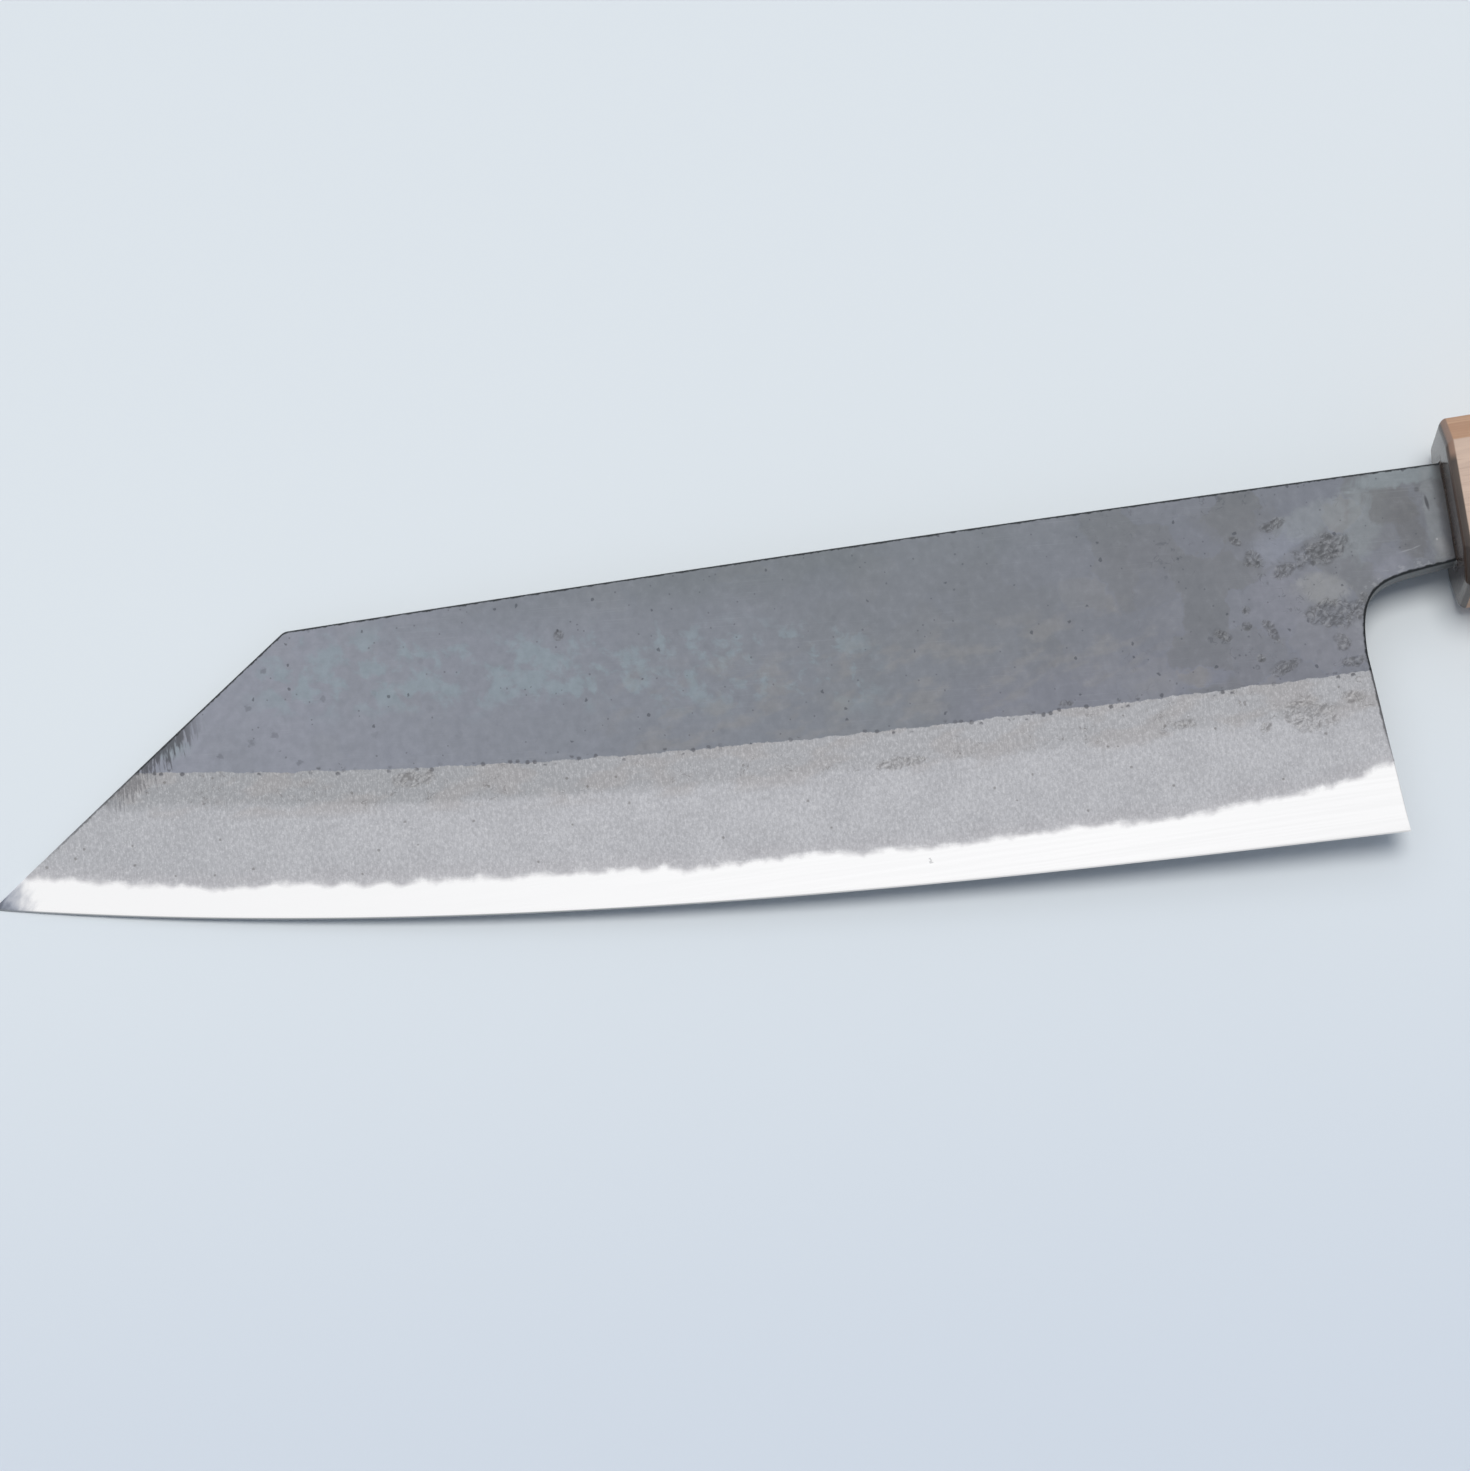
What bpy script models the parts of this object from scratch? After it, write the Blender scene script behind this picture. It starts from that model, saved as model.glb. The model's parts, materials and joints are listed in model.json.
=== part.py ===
"""Bunka kitchen knife lying on its side: a three-layer forged blade in an octagonal wooden handle.

The pieces are drawn in the knife's own frame and then laid on the floor together.
In that frame X runs along the handle's axis from its front face to its butt, so the tip is at -X,
Y points from the cutting edge to the spine, and Z from the right side of the blade to the left.
"""
import math

import bmesh
import bpy
from mathutils import Vector
from mathutils.geometry import interpolate_bezier

# Blade outline, in metres
BLADE_LENGTH = 0.180            # heel to tip
BLADE_HEIGHT = 0.0465           # spine line at the neck to the heel corner
EDGE_RISE_EVEN = 0.0049         # heel to tip, the share of the edge's rise that is spread evenly
EDGE_RISE_BELLY = 0.0113        # and the share that gathers in the belly towards the tip
SPINE_LENGTH = 0.1499           # handle's front face to the corner where the clipped tip begins
SPINE_CORNER_RISE = 0.0002      # that corner above the spine line at the neck
SPINE_ARCH = 0.0004             # swell of the spine between its two ends
TIP_LINE_SWELL = 0.0001         # outward swell of the clipped tip line
SPINE_CORNER_RADIUS = 0.0016

# Neck, choil and tang
NECK_LENGTH = 0.0113            # handle's front face to the heel corner
NECK_HEIGHT = 0.0130
CHOIL_SET_BACK = 0.0018         # the choil's deepest line, from the heel corner towards the tip
CHOIL_CURVE_DROP = 0.0104       # the choil's curve starts this far below the neck
CHOIL_CURVE_REACH = 0.0041      # pull of the curve along the neck
CHOIL_CURVE_SAG = 0.0012        # what the neck's underside still falls where the pull ends
TANG_LENGTH = 0.098             # handle's front face to the end of the tang
TANG_ROOT_HEIGHT = 0.0092
TANG_END_HEIGHT = 0.0050
TANG_SHOULDER = 0.0015

# Thickness of the forged bar and its layers
NECK_THICKNESS = 0.0043         # at the spine, where the neck meets the handle
FLAT_TAPER_ALONG = 0.0060       # slope of each flat towards the tip
FLAT_TAPER_DOWN = 0.0200        # slope of each flat towards the edge
TANG_END_THICKNESS = 0.0026
EDGE_THICKNESS = 0.0002
BEVEL_HEIGHT_HEEL = 0.0209      # edge to the line where the ground bevel starts
BEVEL_HEIGHT_TIP = 0.0187
CORE_THICKNESS_HEEL = 0.00100   # hard core between the two soft jackets
CORE_THICKNESS_TIP = 0.00050
WELD_GAP = 0.00002              # the forge weld between core and jacket

# Octagonal handle
HANDLE_LENGTH = 0.132
FERRULE_LENGTH = 0.027
HANDLE_FRONT_HEIGHT = 0.0222
HANDLE_FRONT_THICKNESS = 0.0203
HANDLE_BUTT_HEIGHT = 0.0258
HANDLE_BUTT_THICKNESS = 0.0232
FACET = 0.0041                  # each corner facet's setback at the front
FACET_BUTT = 0.0047
FRONT_CHAMFER = 0.0011
BUTT_CHAMFER = 0.0014
FRONT_WALL = 0.0040             # wood in front of the bore

# Dowel, bore and seal
DOWEL_DIAMETER = 0.0140
DOWEL_PAST_TANG = 0.006
FIT_GAP = 0.0003                # between loose-fitting neighbours
GLUE_LINE = 0.0001              # between glued faces
SEAL_WALL = 0.0008
SEAL_RECESS = 0.0004

# Fineness of the faceted solids
STATION_STEP = 0.006
CURVE_STEPS = 10
CORNER_STEPS = 4
CHAMFER_STEPS = 3
BORE_SIDES = 32
SMOOTH_BELOW = math.radians(30)

TIP_X = -(NECK_LENGTH + BLADE_LENGTH)
HEEL_X = -NECK_LENGTH
NECK_TOP = NECK_HEIGHT / 2
NECK_BOTTOM = -NECK_HEIGHT / 2
HEEL_Y = NECK_TOP - BLADE_HEIGHT
MARGIN = 0.006                  # how far a cutter or an uncut bar runs past what it cuts
BORE_RADIUS = DOWEL_DIAMETER / 2 + FIT_GAP
DOWEL_FRONT_X = FRONT_WALL + TANG_SHOULDER + FIT_GAP
DOWEL_BACK_X = TANG_LENGTH + DOWEL_PAST_TANG


def clear_scene():
    for item in list(bpy.data.objects):
        bpy.data.objects.remove(item, do_unlink=True)


def new_collection(name):
    collection = bpy.data.collections.new(name)
    bpy.context.scene.collection.children.link(collection)
    return collection


def material(name, colour, roughness, metallic):
    made = bpy.data.materials.new(name)
    made.use_nodes = True
    shader = made.node_tree.nodes["Principled BSDF"]
    shader.inputs["Base Color"].default_value = (*colour, 1.0)
    shader.inputs["Roughness"].default_value = roughness
    shader.inputs["Metallic"].default_value = metallic
    made.diffuse_color = (*colour, 1.0)
    return made


def add_object(name, bm, collection, finish=None):
    """Close a bmesh into a named object with its faces pointing out."""
    bmesh.ops.recalc_face_normals(bm, faces=bm.faces)
    mesh = bpy.data.meshes.new(name)
    bm.to_mesh(mesh)
    bm.free()
    if finish:
        mesh.materials.append(finish)
    made = bpy.data.objects.new(name, mesh)
    collection.objects.link(made)
    return made


def as_cutter(cutter):
    cutter.hide_render = True
    cutter.display_type = "WIRE"
    return cutter


def loft(name, sections, collection, finish=None):
    """Skin a closed body through sections that all have the same number of corners."""
    bm = bmesh.new()
    rings = [[bm.verts.new(corner) for corner in section] for section in sections]
    for near, far in zip(rings, rings[1:]):
        for i in range(len(near)):
            j = (i + 1) % len(near)
            bm.faces.new((near[i], near[j], far[j], far[i]))
    bm.faces.new(rings[0])
    bm.faces.new(rings[-1])
    return add_object(name, bm, collection, finish)


def box(name, low, high, collection, finish=None):
    bm = bmesh.new()
    bmesh.ops.create_cube(bm, size=1.0)
    low, high = Vector(low), Vector(high)
    bmesh.ops.scale(bm, vec=high - low, verts=bm.verts)
    bmesh.ops.translate(bm, vec=(low + high) / 2, verts=bm.verts)
    return add_object(name, bm, collection, finish)


def rod(name, radius, start_x, end_x, collection, finish=None):
    """A round rod along X."""
    bpy.ops.mesh.primitive_cylinder_add(vertices=BORE_SIDES, radius=radius, depth=end_x - start_x)
    made = bpy.context.object
    made.name = name
    made.rotation_euler = (0, math.pi / 2, 0)
    made.location = ((start_x + end_x) / 2, 0, 0)
    for holder in list(made.users_collection):
        holder.objects.unlink(made)
    collection.objects.link(made)
    if finish:
        made.data.materials.append(finish)
    made.data.shade_smooth()
    made.data.set_sharp_from_angle(angle=SMOOTH_BELOW)
    return made


def flat_outline(name, points, half_depth, collection):
    """A closed flat outline in XY, made solid by extrusion both ways, as a mesh."""
    curve = bpy.data.curves.new(name, "CURVE")
    curve.dimensions = "2D"
    curve.fill_mode = "BOTH"
    curve.extrude = half_depth
    spline = curve.splines.new("POLY")
    spline.points.add(len(points) - 1)
    for spot, (x, y) in zip(spline.points, points):
        spot.co = (x, y, 0, 1)
    spline.use_cyclic_u = True
    drawn = bpy.data.objects.new(name + "_curve", curve)
    collection.objects.link(drawn)
    graph = bpy.context.evaluated_depsgraph_get()
    mesh = bpy.data.meshes.new_from_object(drawn.evaluated_get(graph))
    mesh.name = name
    bm = bmesh.new()
    bm.from_mesh(mesh)
    bmesh.ops.remove_doubles(bm, verts=bm.verts, dist=1e-6)
    made = add_object(name, bm, collection)
    bpy.data.objects.remove(drawn, do_unlink=True)
    return made


def boolean(target, cutter, operation="DIFFERENCE"):
    cut = target.modifiers.new(operation.lower() + "_" + cutter.name, "BOOLEAN")
    cut.operation = operation
    cut.solver = "EXACT"
    cut.object = cutter
    return cut


def swollen_line(start, end, swell, steps):
    """Points from start to end on a shallow curve that swells to its left; end is left out."""
    start, end = Vector(start), Vector(end)
    side = Vector((start.y - end.y, end.x - start.x)).normalized()
    points = []
    for i in range(steps):
        t = i / steps
        points.append(tuple(start.lerp(end, t) + side * swell * 4 * t * (1 - t)))
    return points


def rounded_corner(before, corner, after, radius, steps):
    """Points of the arc of that radius which rounds a corner."""
    corner = Vector(corner)
    back = (Vector(before) - corner).normalized()
    ahead = (Vector(after) - corner).normalized()
    half = back.angle(ahead) / 2
    centre = corner + (back + ahead).normalized() * radius / math.sin(half)
    first = corner + back * radius / math.tan(half) - centre
    last = corner + ahead * radius / math.tan(half) - centre
    return [tuple(centre + first.lerp(last, i / steps).normalized() * radius) for i in range(steps + 1)]


def edge_y(x):
    """The cutting edge: nearly straight at the heel, sweeping up to the tip."""
    t = max(0.0, (HEEL_X - x) / BLADE_LENGTH)
    return HEEL_Y + EDGE_RISE_EVEN * t + EDGE_RISE_BELLY * t ** 3


def bevel_top_y(x):
    """The line between the forged flat and the ground bevel."""
    t = (HEEL_X - x) / BLADE_LENGTH
    return edge_y(x) + BEVEL_HEIGHT_HEEL + (BEVEL_HEIGHT_TIP - BEVEL_HEIGHT_HEEL) * t


def flat_half_thickness(x, y):
    """One plane on each side of the blade, and a tang that thins towards its end."""
    at_wall = NECK_THICKNESS / 2 - FLAT_TAPER_DOWN * (NECK_TOP - y)
    if x <= FRONT_WALL:
        return at_wall + FLAT_TAPER_ALONG * min(x, 0.0)
    t = (x - FRONT_WALL) / (TANG_LENGTH - FRONT_WALL)
    return at_wall + (TANG_END_THICKNESS / 2 - at_wall) * t


def core_half_thickness(x):
    t = (HEEL_X - min(x, HEEL_X)) / BLADE_LENGTH
    return (CORE_THICKNESS_HEEL + (CORE_THICKNESS_TIP - CORE_THICKNESS_HEEL) * t) / 2


def bevel_y_at(x, half_thickness):
    """Height at which the bevel has grown to a half thickness."""
    low, high = edge_y(x), bevel_top_y(x)
    rise = (half_thickness - EDGE_THICKNESS / 2) / (flat_half_thickness(x, high) - EDGE_THICKNESS / 2)
    return low + (high - low) * rise


def stations():
    """Places along X where the blade's section is drawn: finer at the neck than elsewhere."""
    count = math.ceil(BLADE_LENGTH / STATION_STEP)
    blade = [TIP_X - MARGIN + i * (BLADE_LENGTH + MARGIN) / count for i in range(count + 1)]
    return blade + [0.0, FRONT_WALL, (FRONT_WALL + TANG_LENGTH) / 2, TANG_LENGTH + MARGIN]


def core_section(x):
    top, half, edge = NECK_TOP + MARGIN, core_half_thickness(x), EDGE_THICKNESS / 2
    weld, low = bevel_y_at(x, half), edge_y(x)
    return [(x, top, half), (x, top, -half), (x, weld, -half),
            (x, low, -edge), (x, low, edge), (x, weld, half)]


def jacket_section(x, side):
    top, inner = NECK_TOP + MARGIN, core_half_thickness(x) + WELD_GAP
    bend = bevel_top_y(x)
    return [(x, top, side * flat_half_thickness(x, top)), (x, top, side * inner),
            (x, bevel_y_at(x, inner), side * inner), (x, bend, side * flat_half_thickness(x, bend))]


def blank_points():
    """The outline the forged bar is cut to; below the edge it only has to stay clear."""
    corner = (-SPINE_LENGTH, NECK_TOP + SPINE_CORNER_RISE)
    tip = (TIP_X, edge_y(TIP_X))
    direction = (Vector(tip) - Vector(corner)).normalized()
    past_tip = tuple(Vector(tip) + direction * MARGIN)
    low = HEEL_Y - MARGIN
    choil_x = HEEL_X - CHOIL_SET_BACK
    shoulder_x = FRONT_WALL + TANG_SHOULDER

    points = [past_tip]
    tip_line = swollen_line(tip, corner, TIP_LINE_SWELL, CURVE_STEPS)
    spine = swollen_line(corner, (0.0, NECK_TOP), SPINE_ARCH, CURVE_STEPS)
    points += tip_line
    points += rounded_corner(tip_line[-1], corner, spine[1], SPINE_CORNER_RADIUS, CORNER_STEPS)
    points += spine[1:]
    points += [(0.0, NECK_TOP), (FRONT_WALL, NECK_TOP)]
    points += [(shoulder_x, TANG_ROOT_HEIGHT / 2), (TANG_LENGTH, TANG_END_HEIGHT / 2)]
    points += [(TANG_LENGTH, -TANG_END_HEIGHT / 2), (shoulder_x, -TANG_ROOT_HEIGHT / 2)]
    points += [(FRONT_WALL, NECK_BOTTOM)]
    curve = interpolate_bezier(
        Vector((0.0, NECK_BOTTOM)),
        Vector((choil_x + CHOIL_CURVE_REACH, NECK_BOTTOM - CHOIL_CURVE_SAG)),
        Vector((choil_x, NECK_BOTTOM)),
        Vector((choil_x, NECK_BOTTOM - CHOIL_CURVE_DROP)),
        2 * CURVE_STEPS,
    )
    points += [(spot.x, spot.y) for spot in curve]
    points += [(HEEL_X, HEEL_Y)]
    points += [(HEEL_X, low), (past_tip[0], low)]
    return points


def make_blade(parts, cutters, steel, iron):
    blank = as_cutter(flat_outline("blank_outline", blank_points(), NECK_THICKNESS, cutters))
    core = loft("core_steel", [core_section(x) for x in stations()], parts, steel)
    left = loft("cladding_left", [jacket_section(x, 1) for x in stations()], parts, iron)
    right = loft("cladding_right", [jacket_section(x, -1) for x in stations()], parts, iron)
    for layer in (core, left, right):
        boolean(layer, blank, "INTERSECT")
    return [core, left, right]


def octagon(x):
    """The handle's section: flats towards the blade's sides, edge and spine, and four facets."""
    t = x / HANDLE_LENGTH
    high = (HANDLE_FRONT_HEIGHT + (HANDLE_BUTT_HEIGHT - HANDLE_FRONT_HEIGHT) * t) / 2
    wide = (HANDLE_FRONT_THICKNESS + (HANDLE_BUTT_THICKNESS - HANDLE_FRONT_THICKNESS) * t) / 2
    cut = FACET + (FACET_BUTT - FACET) * t
    quarter = [(high, wide - cut), (high - cut, wide)]
    ring = quarter + [(-y, z) for y, z in reversed(quarter)]
    ring += [(-y, -z) for y, z in quarter] + [(y, -z) for y, z in reversed(quarter)]
    return [(x, y, z) for y, z in ring]


def chamfer_end(piece, x, width):
    """Bevel the edges round one end of a handle piece."""
    mesh = piece.data
    weights = mesh.attributes.new("bevel_weight_edge", "FLOAT", "EDGE")
    for edge in mesh.edges:
        if all(abs(mesh.vertices[i].co.x - x) < 1e-6 for i in edge.vertices):
            weights.data[edge.index].value = 1.0
    bevel = piece.modifiers.new("end_chamfer", "BEVEL")
    bevel.limit_method = "WEIGHT"
    bevel.width = width
    bevel.segments = CHAMFER_STEPS


def make_handle(parts, cutters, ferrule_wood, handle_wood):
    joint = FERRULE_LENGTH
    ferrule = loft("ferrule", [octagon(0.0), octagon(joint)], parts, ferrule_wood)
    body = loft("handle_body", [octagon(joint + GLUE_LINE), octagon(HANDLE_LENGTH)], parts, handle_wood)
    chamfer_end(ferrule, 0.0, FRONT_CHAMFER)
    chamfer_end(body, HANDLE_LENGTH, BUTT_CHAMFER)

    bore = as_cutter(rod("bore", BORE_RADIUS, FRONT_WALL, DOWEL_BACK_X + FIT_GAP, cutters))
    reach = SEAL_WALL + 2 * GLUE_LINE
    half = NECK_THICKNESS / 2
    slot = as_cutter(box(
        "mouth_slot",
        (-MARGIN, NECK_BOTTOM - reach, -half - reach),
        (FRONT_WALL + MARGIN, NECK_TOP + reach, half + reach),
        cutters,
    ))
    boolean(ferrule, bore)
    boolean(ferrule, slot)
    boolean(body, bore)
    return [ferrule, body]


def make_mouth_seal(parts, cutters, resin):
    """The resin collar that closes the slot round the neck."""
    inner = GLUE_LINE
    outer = GLUE_LINE + SEAL_WALL
    half = NECK_THICKNESS / 2
    seal = box(
        "mouth_seal",
        (SEAL_RECESS, NECK_BOTTOM - outer, -half - outer),
        (FRONT_WALL, NECK_TOP + outer, half + outer),
        parts,
        resin,
    )
    hole = as_cutter(box(
        "seal_hole",
        (-MARGIN, NECK_BOTTOM - inner, -half - inner),
        (FRONT_WALL + MARGIN, NECK_TOP + inner, half + inner),
        cutters,
    ))
    boolean(seal, hole)
    return [seal]


def make_dowel(parts, cutters, wood):
    """Two half rods, each grooved for its half of the tang."""
    groove = as_cutter(loft("tang_groove", [tang_space(x) for x in (DOWEL_FRONT_X - MARGIN,
                                                                    TANG_LENGTH + FIT_GAP)], cutters))
    halves = []
    for name, side in (("tang_dowel_left", 1), ("tang_dowel_right", -1)):
        half = rod(name, DOWEL_DIAMETER / 2, DOWEL_FRONT_X, DOWEL_BACK_X, parts, wood)
        far = DOWEL_DIAMETER
        other = sorted((side * FIT_GAP / 2, -side * far))
        split = as_cutter(box(
            name + "_split",
            (DOWEL_FRONT_X - MARGIN, -far, other[0]),
            (DOWEL_BACK_X + MARGIN, far, other[1]),
            cutters,
        ))
        boolean(half, split)
        boolean(half, groove)
        halves.append(half)
    return halves


def tang_space(x):
    """The room the tang takes in the dowel at x, with its clearance."""
    shoulder_x = FRONT_WALL + TANG_SHOULDER
    t = (x - shoulder_x) / (TANG_LENGTH - shoulder_x)
    high = (TANG_ROOT_HEIGHT + (TANG_END_HEIGHT - TANG_ROOT_HEIGHT) * t) / 2 + FIT_GAP
    wide = max(flat_half_thickness(x, TANG_ROOT_HEIGHT / 2), TANG_END_THICKNESS / 2) + FIT_GAP
    return [(x, high, wide), (x, -high, wide), (x, -high, -wide), (x, high, -wide)]


def knife_points(pieces):
    """Corners of the finished meshes, in the knife's own frame."""
    graph = bpy.context.evaluated_depsgraph_get()
    points = []
    for piece in pieces:
        finished = piece.evaluated_get(graph)
        mesh = finished.to_mesh()
        points += [finished.matrix_world @ corner.co for corner in mesh.vertices]
        finished.to_mesh_clear()
    return points


def lay_down(pieces, cutters, blade, parts):
    """Rest the knife on its tip and on the front edge of the handle, centred over the origin."""
    bpy.context.view_layer.update()
    edge = Vector((FRONT_CHAMFER, 0.0, -HANDLE_FRONT_THICKNESS / 2))
    ahead = [corner for corner in knife_points(blade) if corner.x < HEEL_X]
    pitch = min(math.atan2(corner.z - edge.z, edge.x - corner.x) for corner in ahead)

    rest = bpy.data.objects.new("rest_pose", None)
    parts.objects.link(rest)
    rest.rotation_euler = (0, -pitch, 0)
    for piece in pieces + list(cutters.objects):
        piece.parent = rest
    bpy.context.view_layer.update()
    points = knife_points(pieces)
    low = [min(point[axis] for point in points) for axis in range(3)]
    high = [max(point[axis] for point in points) for axis in range(3)]
    rest.location = (-(low[0] + high[0]) / 2, -(low[1] + high[1]) / 2, -low[2])
    bpy.context.view_layer.update()


def main():
    clear_scene()
    parts = new_collection("bunka_knife")
    cutters = new_collection("cutters")

    hard_steel = material("hard_steel", (0.78, 0.79, 0.81), 0.22, 1.0)
    forged_iron = material("forged_iron", (0.22, 0.24, 0.26), 0.55, 0.9)
    ferrule_wood = material("ferrule_wood", (0.42, 0.22, 0.14), 0.35, 0.0)
    handle_wood = material("handle_wood", (0.36, 0.19, 0.11), 0.45, 0.0)
    dowel_wood = material("dowel_wood", (0.66, 0.50, 0.32), 0.70, 0.0)
    resin = material("seal_resin", (0.06, 0.045, 0.035), 0.40, 0.0)

    blade = make_blade(parts, cutters, hard_steel, forged_iron)
    pieces = list(blade)
    pieces += make_handle(parts, cutters, ferrule_wood, handle_wood)
    pieces += make_mouth_seal(parts, cutters, resin)
    pieces += make_dowel(parts, cutters, dowel_wood)
    lay_down(pieces, cutters, blade, parts)


main()
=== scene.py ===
"""Dresses the bunka knife: dark forge scale, hazy ground bevels, bright core, octagonal wooden handle.

Every piece is drawn in millimetres in the knife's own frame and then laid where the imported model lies.
In that frame X runs along the handle's axis from its front face to its butt, so the tip is at -X,
Y points from the cutting edge to the spine, and Z from the right side of the blade to the left.
"""
import json
import math

import bmesh
import bpy
from mathutils import Matrix, Vector, noise
from mathutils.bvhtree import BVHTree
from mathutils.geometry import delaunay_2d_cdt, interpolate_bezier


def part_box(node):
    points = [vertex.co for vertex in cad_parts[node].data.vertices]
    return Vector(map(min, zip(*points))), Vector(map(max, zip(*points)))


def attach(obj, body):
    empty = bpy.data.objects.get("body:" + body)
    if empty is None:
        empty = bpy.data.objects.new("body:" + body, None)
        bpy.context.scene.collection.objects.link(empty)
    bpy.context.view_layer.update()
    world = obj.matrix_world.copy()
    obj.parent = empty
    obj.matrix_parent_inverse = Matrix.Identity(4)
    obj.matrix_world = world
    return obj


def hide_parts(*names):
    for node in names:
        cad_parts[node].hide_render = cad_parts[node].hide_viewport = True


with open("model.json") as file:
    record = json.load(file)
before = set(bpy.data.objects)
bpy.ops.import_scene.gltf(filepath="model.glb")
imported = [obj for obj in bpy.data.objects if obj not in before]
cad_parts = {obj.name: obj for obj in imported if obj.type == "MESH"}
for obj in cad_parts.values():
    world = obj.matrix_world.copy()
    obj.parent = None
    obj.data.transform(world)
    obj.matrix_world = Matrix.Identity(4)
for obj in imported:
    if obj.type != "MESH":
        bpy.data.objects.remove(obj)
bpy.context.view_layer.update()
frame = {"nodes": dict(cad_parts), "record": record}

# Blade outline and section, in millimetres, as the solids have them
BLADE_LENGTH = 180.0
BLADE_HEIGHT = 46.5
EDGE_RISE_EVEN = 4.9
EDGE_RISE_BELLY = 11.3
SPINE_LENGTH = 149.9
SPINE_CORNER_RISE = 0.2
SPINE_ARCH = 0.4
TIP_LINE_SWELL = 0.1
SPINE_CORNER_RADIUS = 1.6
NECK_LENGTH = 11.3
NECK_HEIGHT = 13.0
NECK_THICKNESS = 4.3
CHOIL_SET_BACK = 1.8
CHOIL_CURVE_DROP = 10.4
CHOIL_CURVE_REACH = 4.1
CHOIL_CURVE_SAG = 1.2
TANG_LENGTH = 98.0
TANG_ROOT_HEIGHT = 9.2
TANG_END_HEIGHT = 5.0
TANG_SHOULDER = 1.5
TANG_END_THICKNESS = 2.6
FLAT_TAPER_ALONG = 0.0060
FLAT_TAPER_DOWN = 0.0200
EDGE_THICKNESS = 0.1            # thinner than in the solids, before it is honed
BEVEL_HEIGHT_HEEL = 20.9
BEVEL_HEIGHT_TIP = 18.7
CORE_THICKNESS_HEEL = 1.00
CORE_THICKNESS_TIP = 0.50

# Handle, as the solids have it
HANDLE_LENGTH = 132.0
FERRULE_LENGTH = 27.0
HANDLE_FRONT_HEIGHT = 22.2
HANDLE_FRONT_THICKNESS = 20.3
HANDLE_BUTT_HEIGHT = 25.8
HANDLE_BUTT_THICKNESS = 23.2
FACET = 4.1
FRONT_ROUNDING = 0.95
BUTT_ROUNDING = 1.4
FRONT_SOFTNESS = 0.15           # how far the front face's octagon is worn round
FRONT_WALL = 4.0
BORE_RADIUS = 7.3
BORE_END = 104.3
SLOT_REACH = 1.0                # room round the neck in the ferrule's mouth
SEAL_RECESS = 0.4

# Finish of the blade's shape
EASED_CORNER = 0.42             # rounding of the blade's long corners
EASED_CORE_CORNER = 0.15
CORNER_ROOM = 0.8               # share of a jacket's thickness that its rounding may take
CORE_CORNER_ROOM = 0.6          # and of the core's half thickness and its bare height
CORE_CORNER_RISE = 0.5
HONED_HEIGHT = 0.22             # the sharpened strip along the edge, and half its thickness at the edge
HONED_HALF = 0.01
WELD_GAP = 0.004                # between core and jacket
JACKET_STEP = 0.012             # the jacket's rim over the core where it ends on the bevel

# Points that the blade's skins are made of
HEM_OFFSETS = (0.03, 0.08, 0.15, 0.24, 0.34, 0.46)      # rows along the outline, for its rounded corner
ROW_OFFSET = 0.22               # rows of points beside a crease
OUTLINE_STEP = 0.4
FINE_STEP = 0.13                # spacing of the points in pitted scale
NECK_STEP = 0.30                # and near the neck
PLAIN_STEP = 0.55               # and elsewhere on a jacket
CORE_STEP = 0.9
NECK_ZONE_X = -45.0
SKIN_END = 0.5                  # behind the front face, from where the outline alone carries the skin
HEM_CLEARANCE = 0.97            # share of its offset that a hem's point keeps from the rest of the outline
BEVEL_CLEARANCE = 1.6 * ROW_OFFSET      # room that the lattices leave beside the rows
CORE_LINE_CLEARANCE = 1.8 * ROW_OFFSET
ROW_HEIGHT = math.sqrt(0.75)    # of a lattice of even triangles, as a share of its step
CROSSING_STEPS = 40
NEAR = 0.001
METRE = 1000                    # in millimetres

# Relief of the forged and the pitted skin
FORGE_WAVE = 13.0               # length and depth of the waves the hammer leaves
FORGE_DEPTH = 0.022
SCALE_LUMP = 2.2                # size and depth of the lumps in the scale
SCALE_DEPTH = 0.008
FOLD_SIZE = 0.43                # size and depth of the wrinkles in pitted scale
FOLD_DEPTH = 0.11
FOLD_STRETCH = 0.6              # how far the wrinkles are drawn out, and which way, in degrees
FOLD_TURN = 35
SCAR_RAG = 0.9                  # size and depth of the bays in a pitted place's rim
SCAR_RAG_DEPTH = 0.35
SCAR_SKIRT = -0.35              # share up to which the fine points go on outside a pitted place
SCAR_FOLDS_END = -0.3           # and up to which there are any wrinkles
WANDER = 0.6                    # how far the wrinkles wander, how fast, and where each axis reads the noise
WANDER_RATE = 0.45
WANDER_PLACES = tuple(Vector(p) for p in ((9.3, -1.5, -8.0), (0.0, 0.0, 0.0), (6.3, 0.2, -2.7)))
FOLD_SIDE_PLACE = 40            # how far apart the two sides read the noise of wrinkles, and of waves
WAVE_SIDE_PLACE = 60
SCAR_BOX = 2                    # half lengths within which a pitted place is looked for
SCAR_FINE_BOX = 1.5             # and within which it gets fine points
SCAR_TINT = (-0.15, 0.35)       # shares between which a pitted place takes on its colour
FOLD_ONSET = (-0.12, 0.28)      # and between which its wrinkles rise to their height
FOLD_LIMIT = 0.5                # the most that a wrinkle rises or falls, as a share of its depth
FOLD_DIRT_AND_SHADE = (0.06, 0.40)        # falls between which the hollows darken: dirt and painted shade
FOLD_RUB_AND_HIGHLIGHT = (0.12, 0.45)         # rises between which the tops lighten: rubbed wear and painted highlight
DIRT_AND_SHADE_RATE = 0.3                # how fast the darker places come and go, and the noise that makes them
DIRT_AND_SHADE_NOISE = (-0.35, 0.25)
LEAST_DIRT_AND_SHADE = 0.35              # how much of that darkening the other places hold
GROOVE_DEPTH = 0.03             # the groove round a pitted place, and its width as a share
GROOVE_WIDTH = 0.12
GROOVE_RATE = 0.4               # how fast it comes and goes, the noise that makes it, and its darkening by dirt and painted shade
GROOVE_NOISE = (0.0, 0.4)
GROOVE_DIRT_AND_SHADE = 0.5
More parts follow.
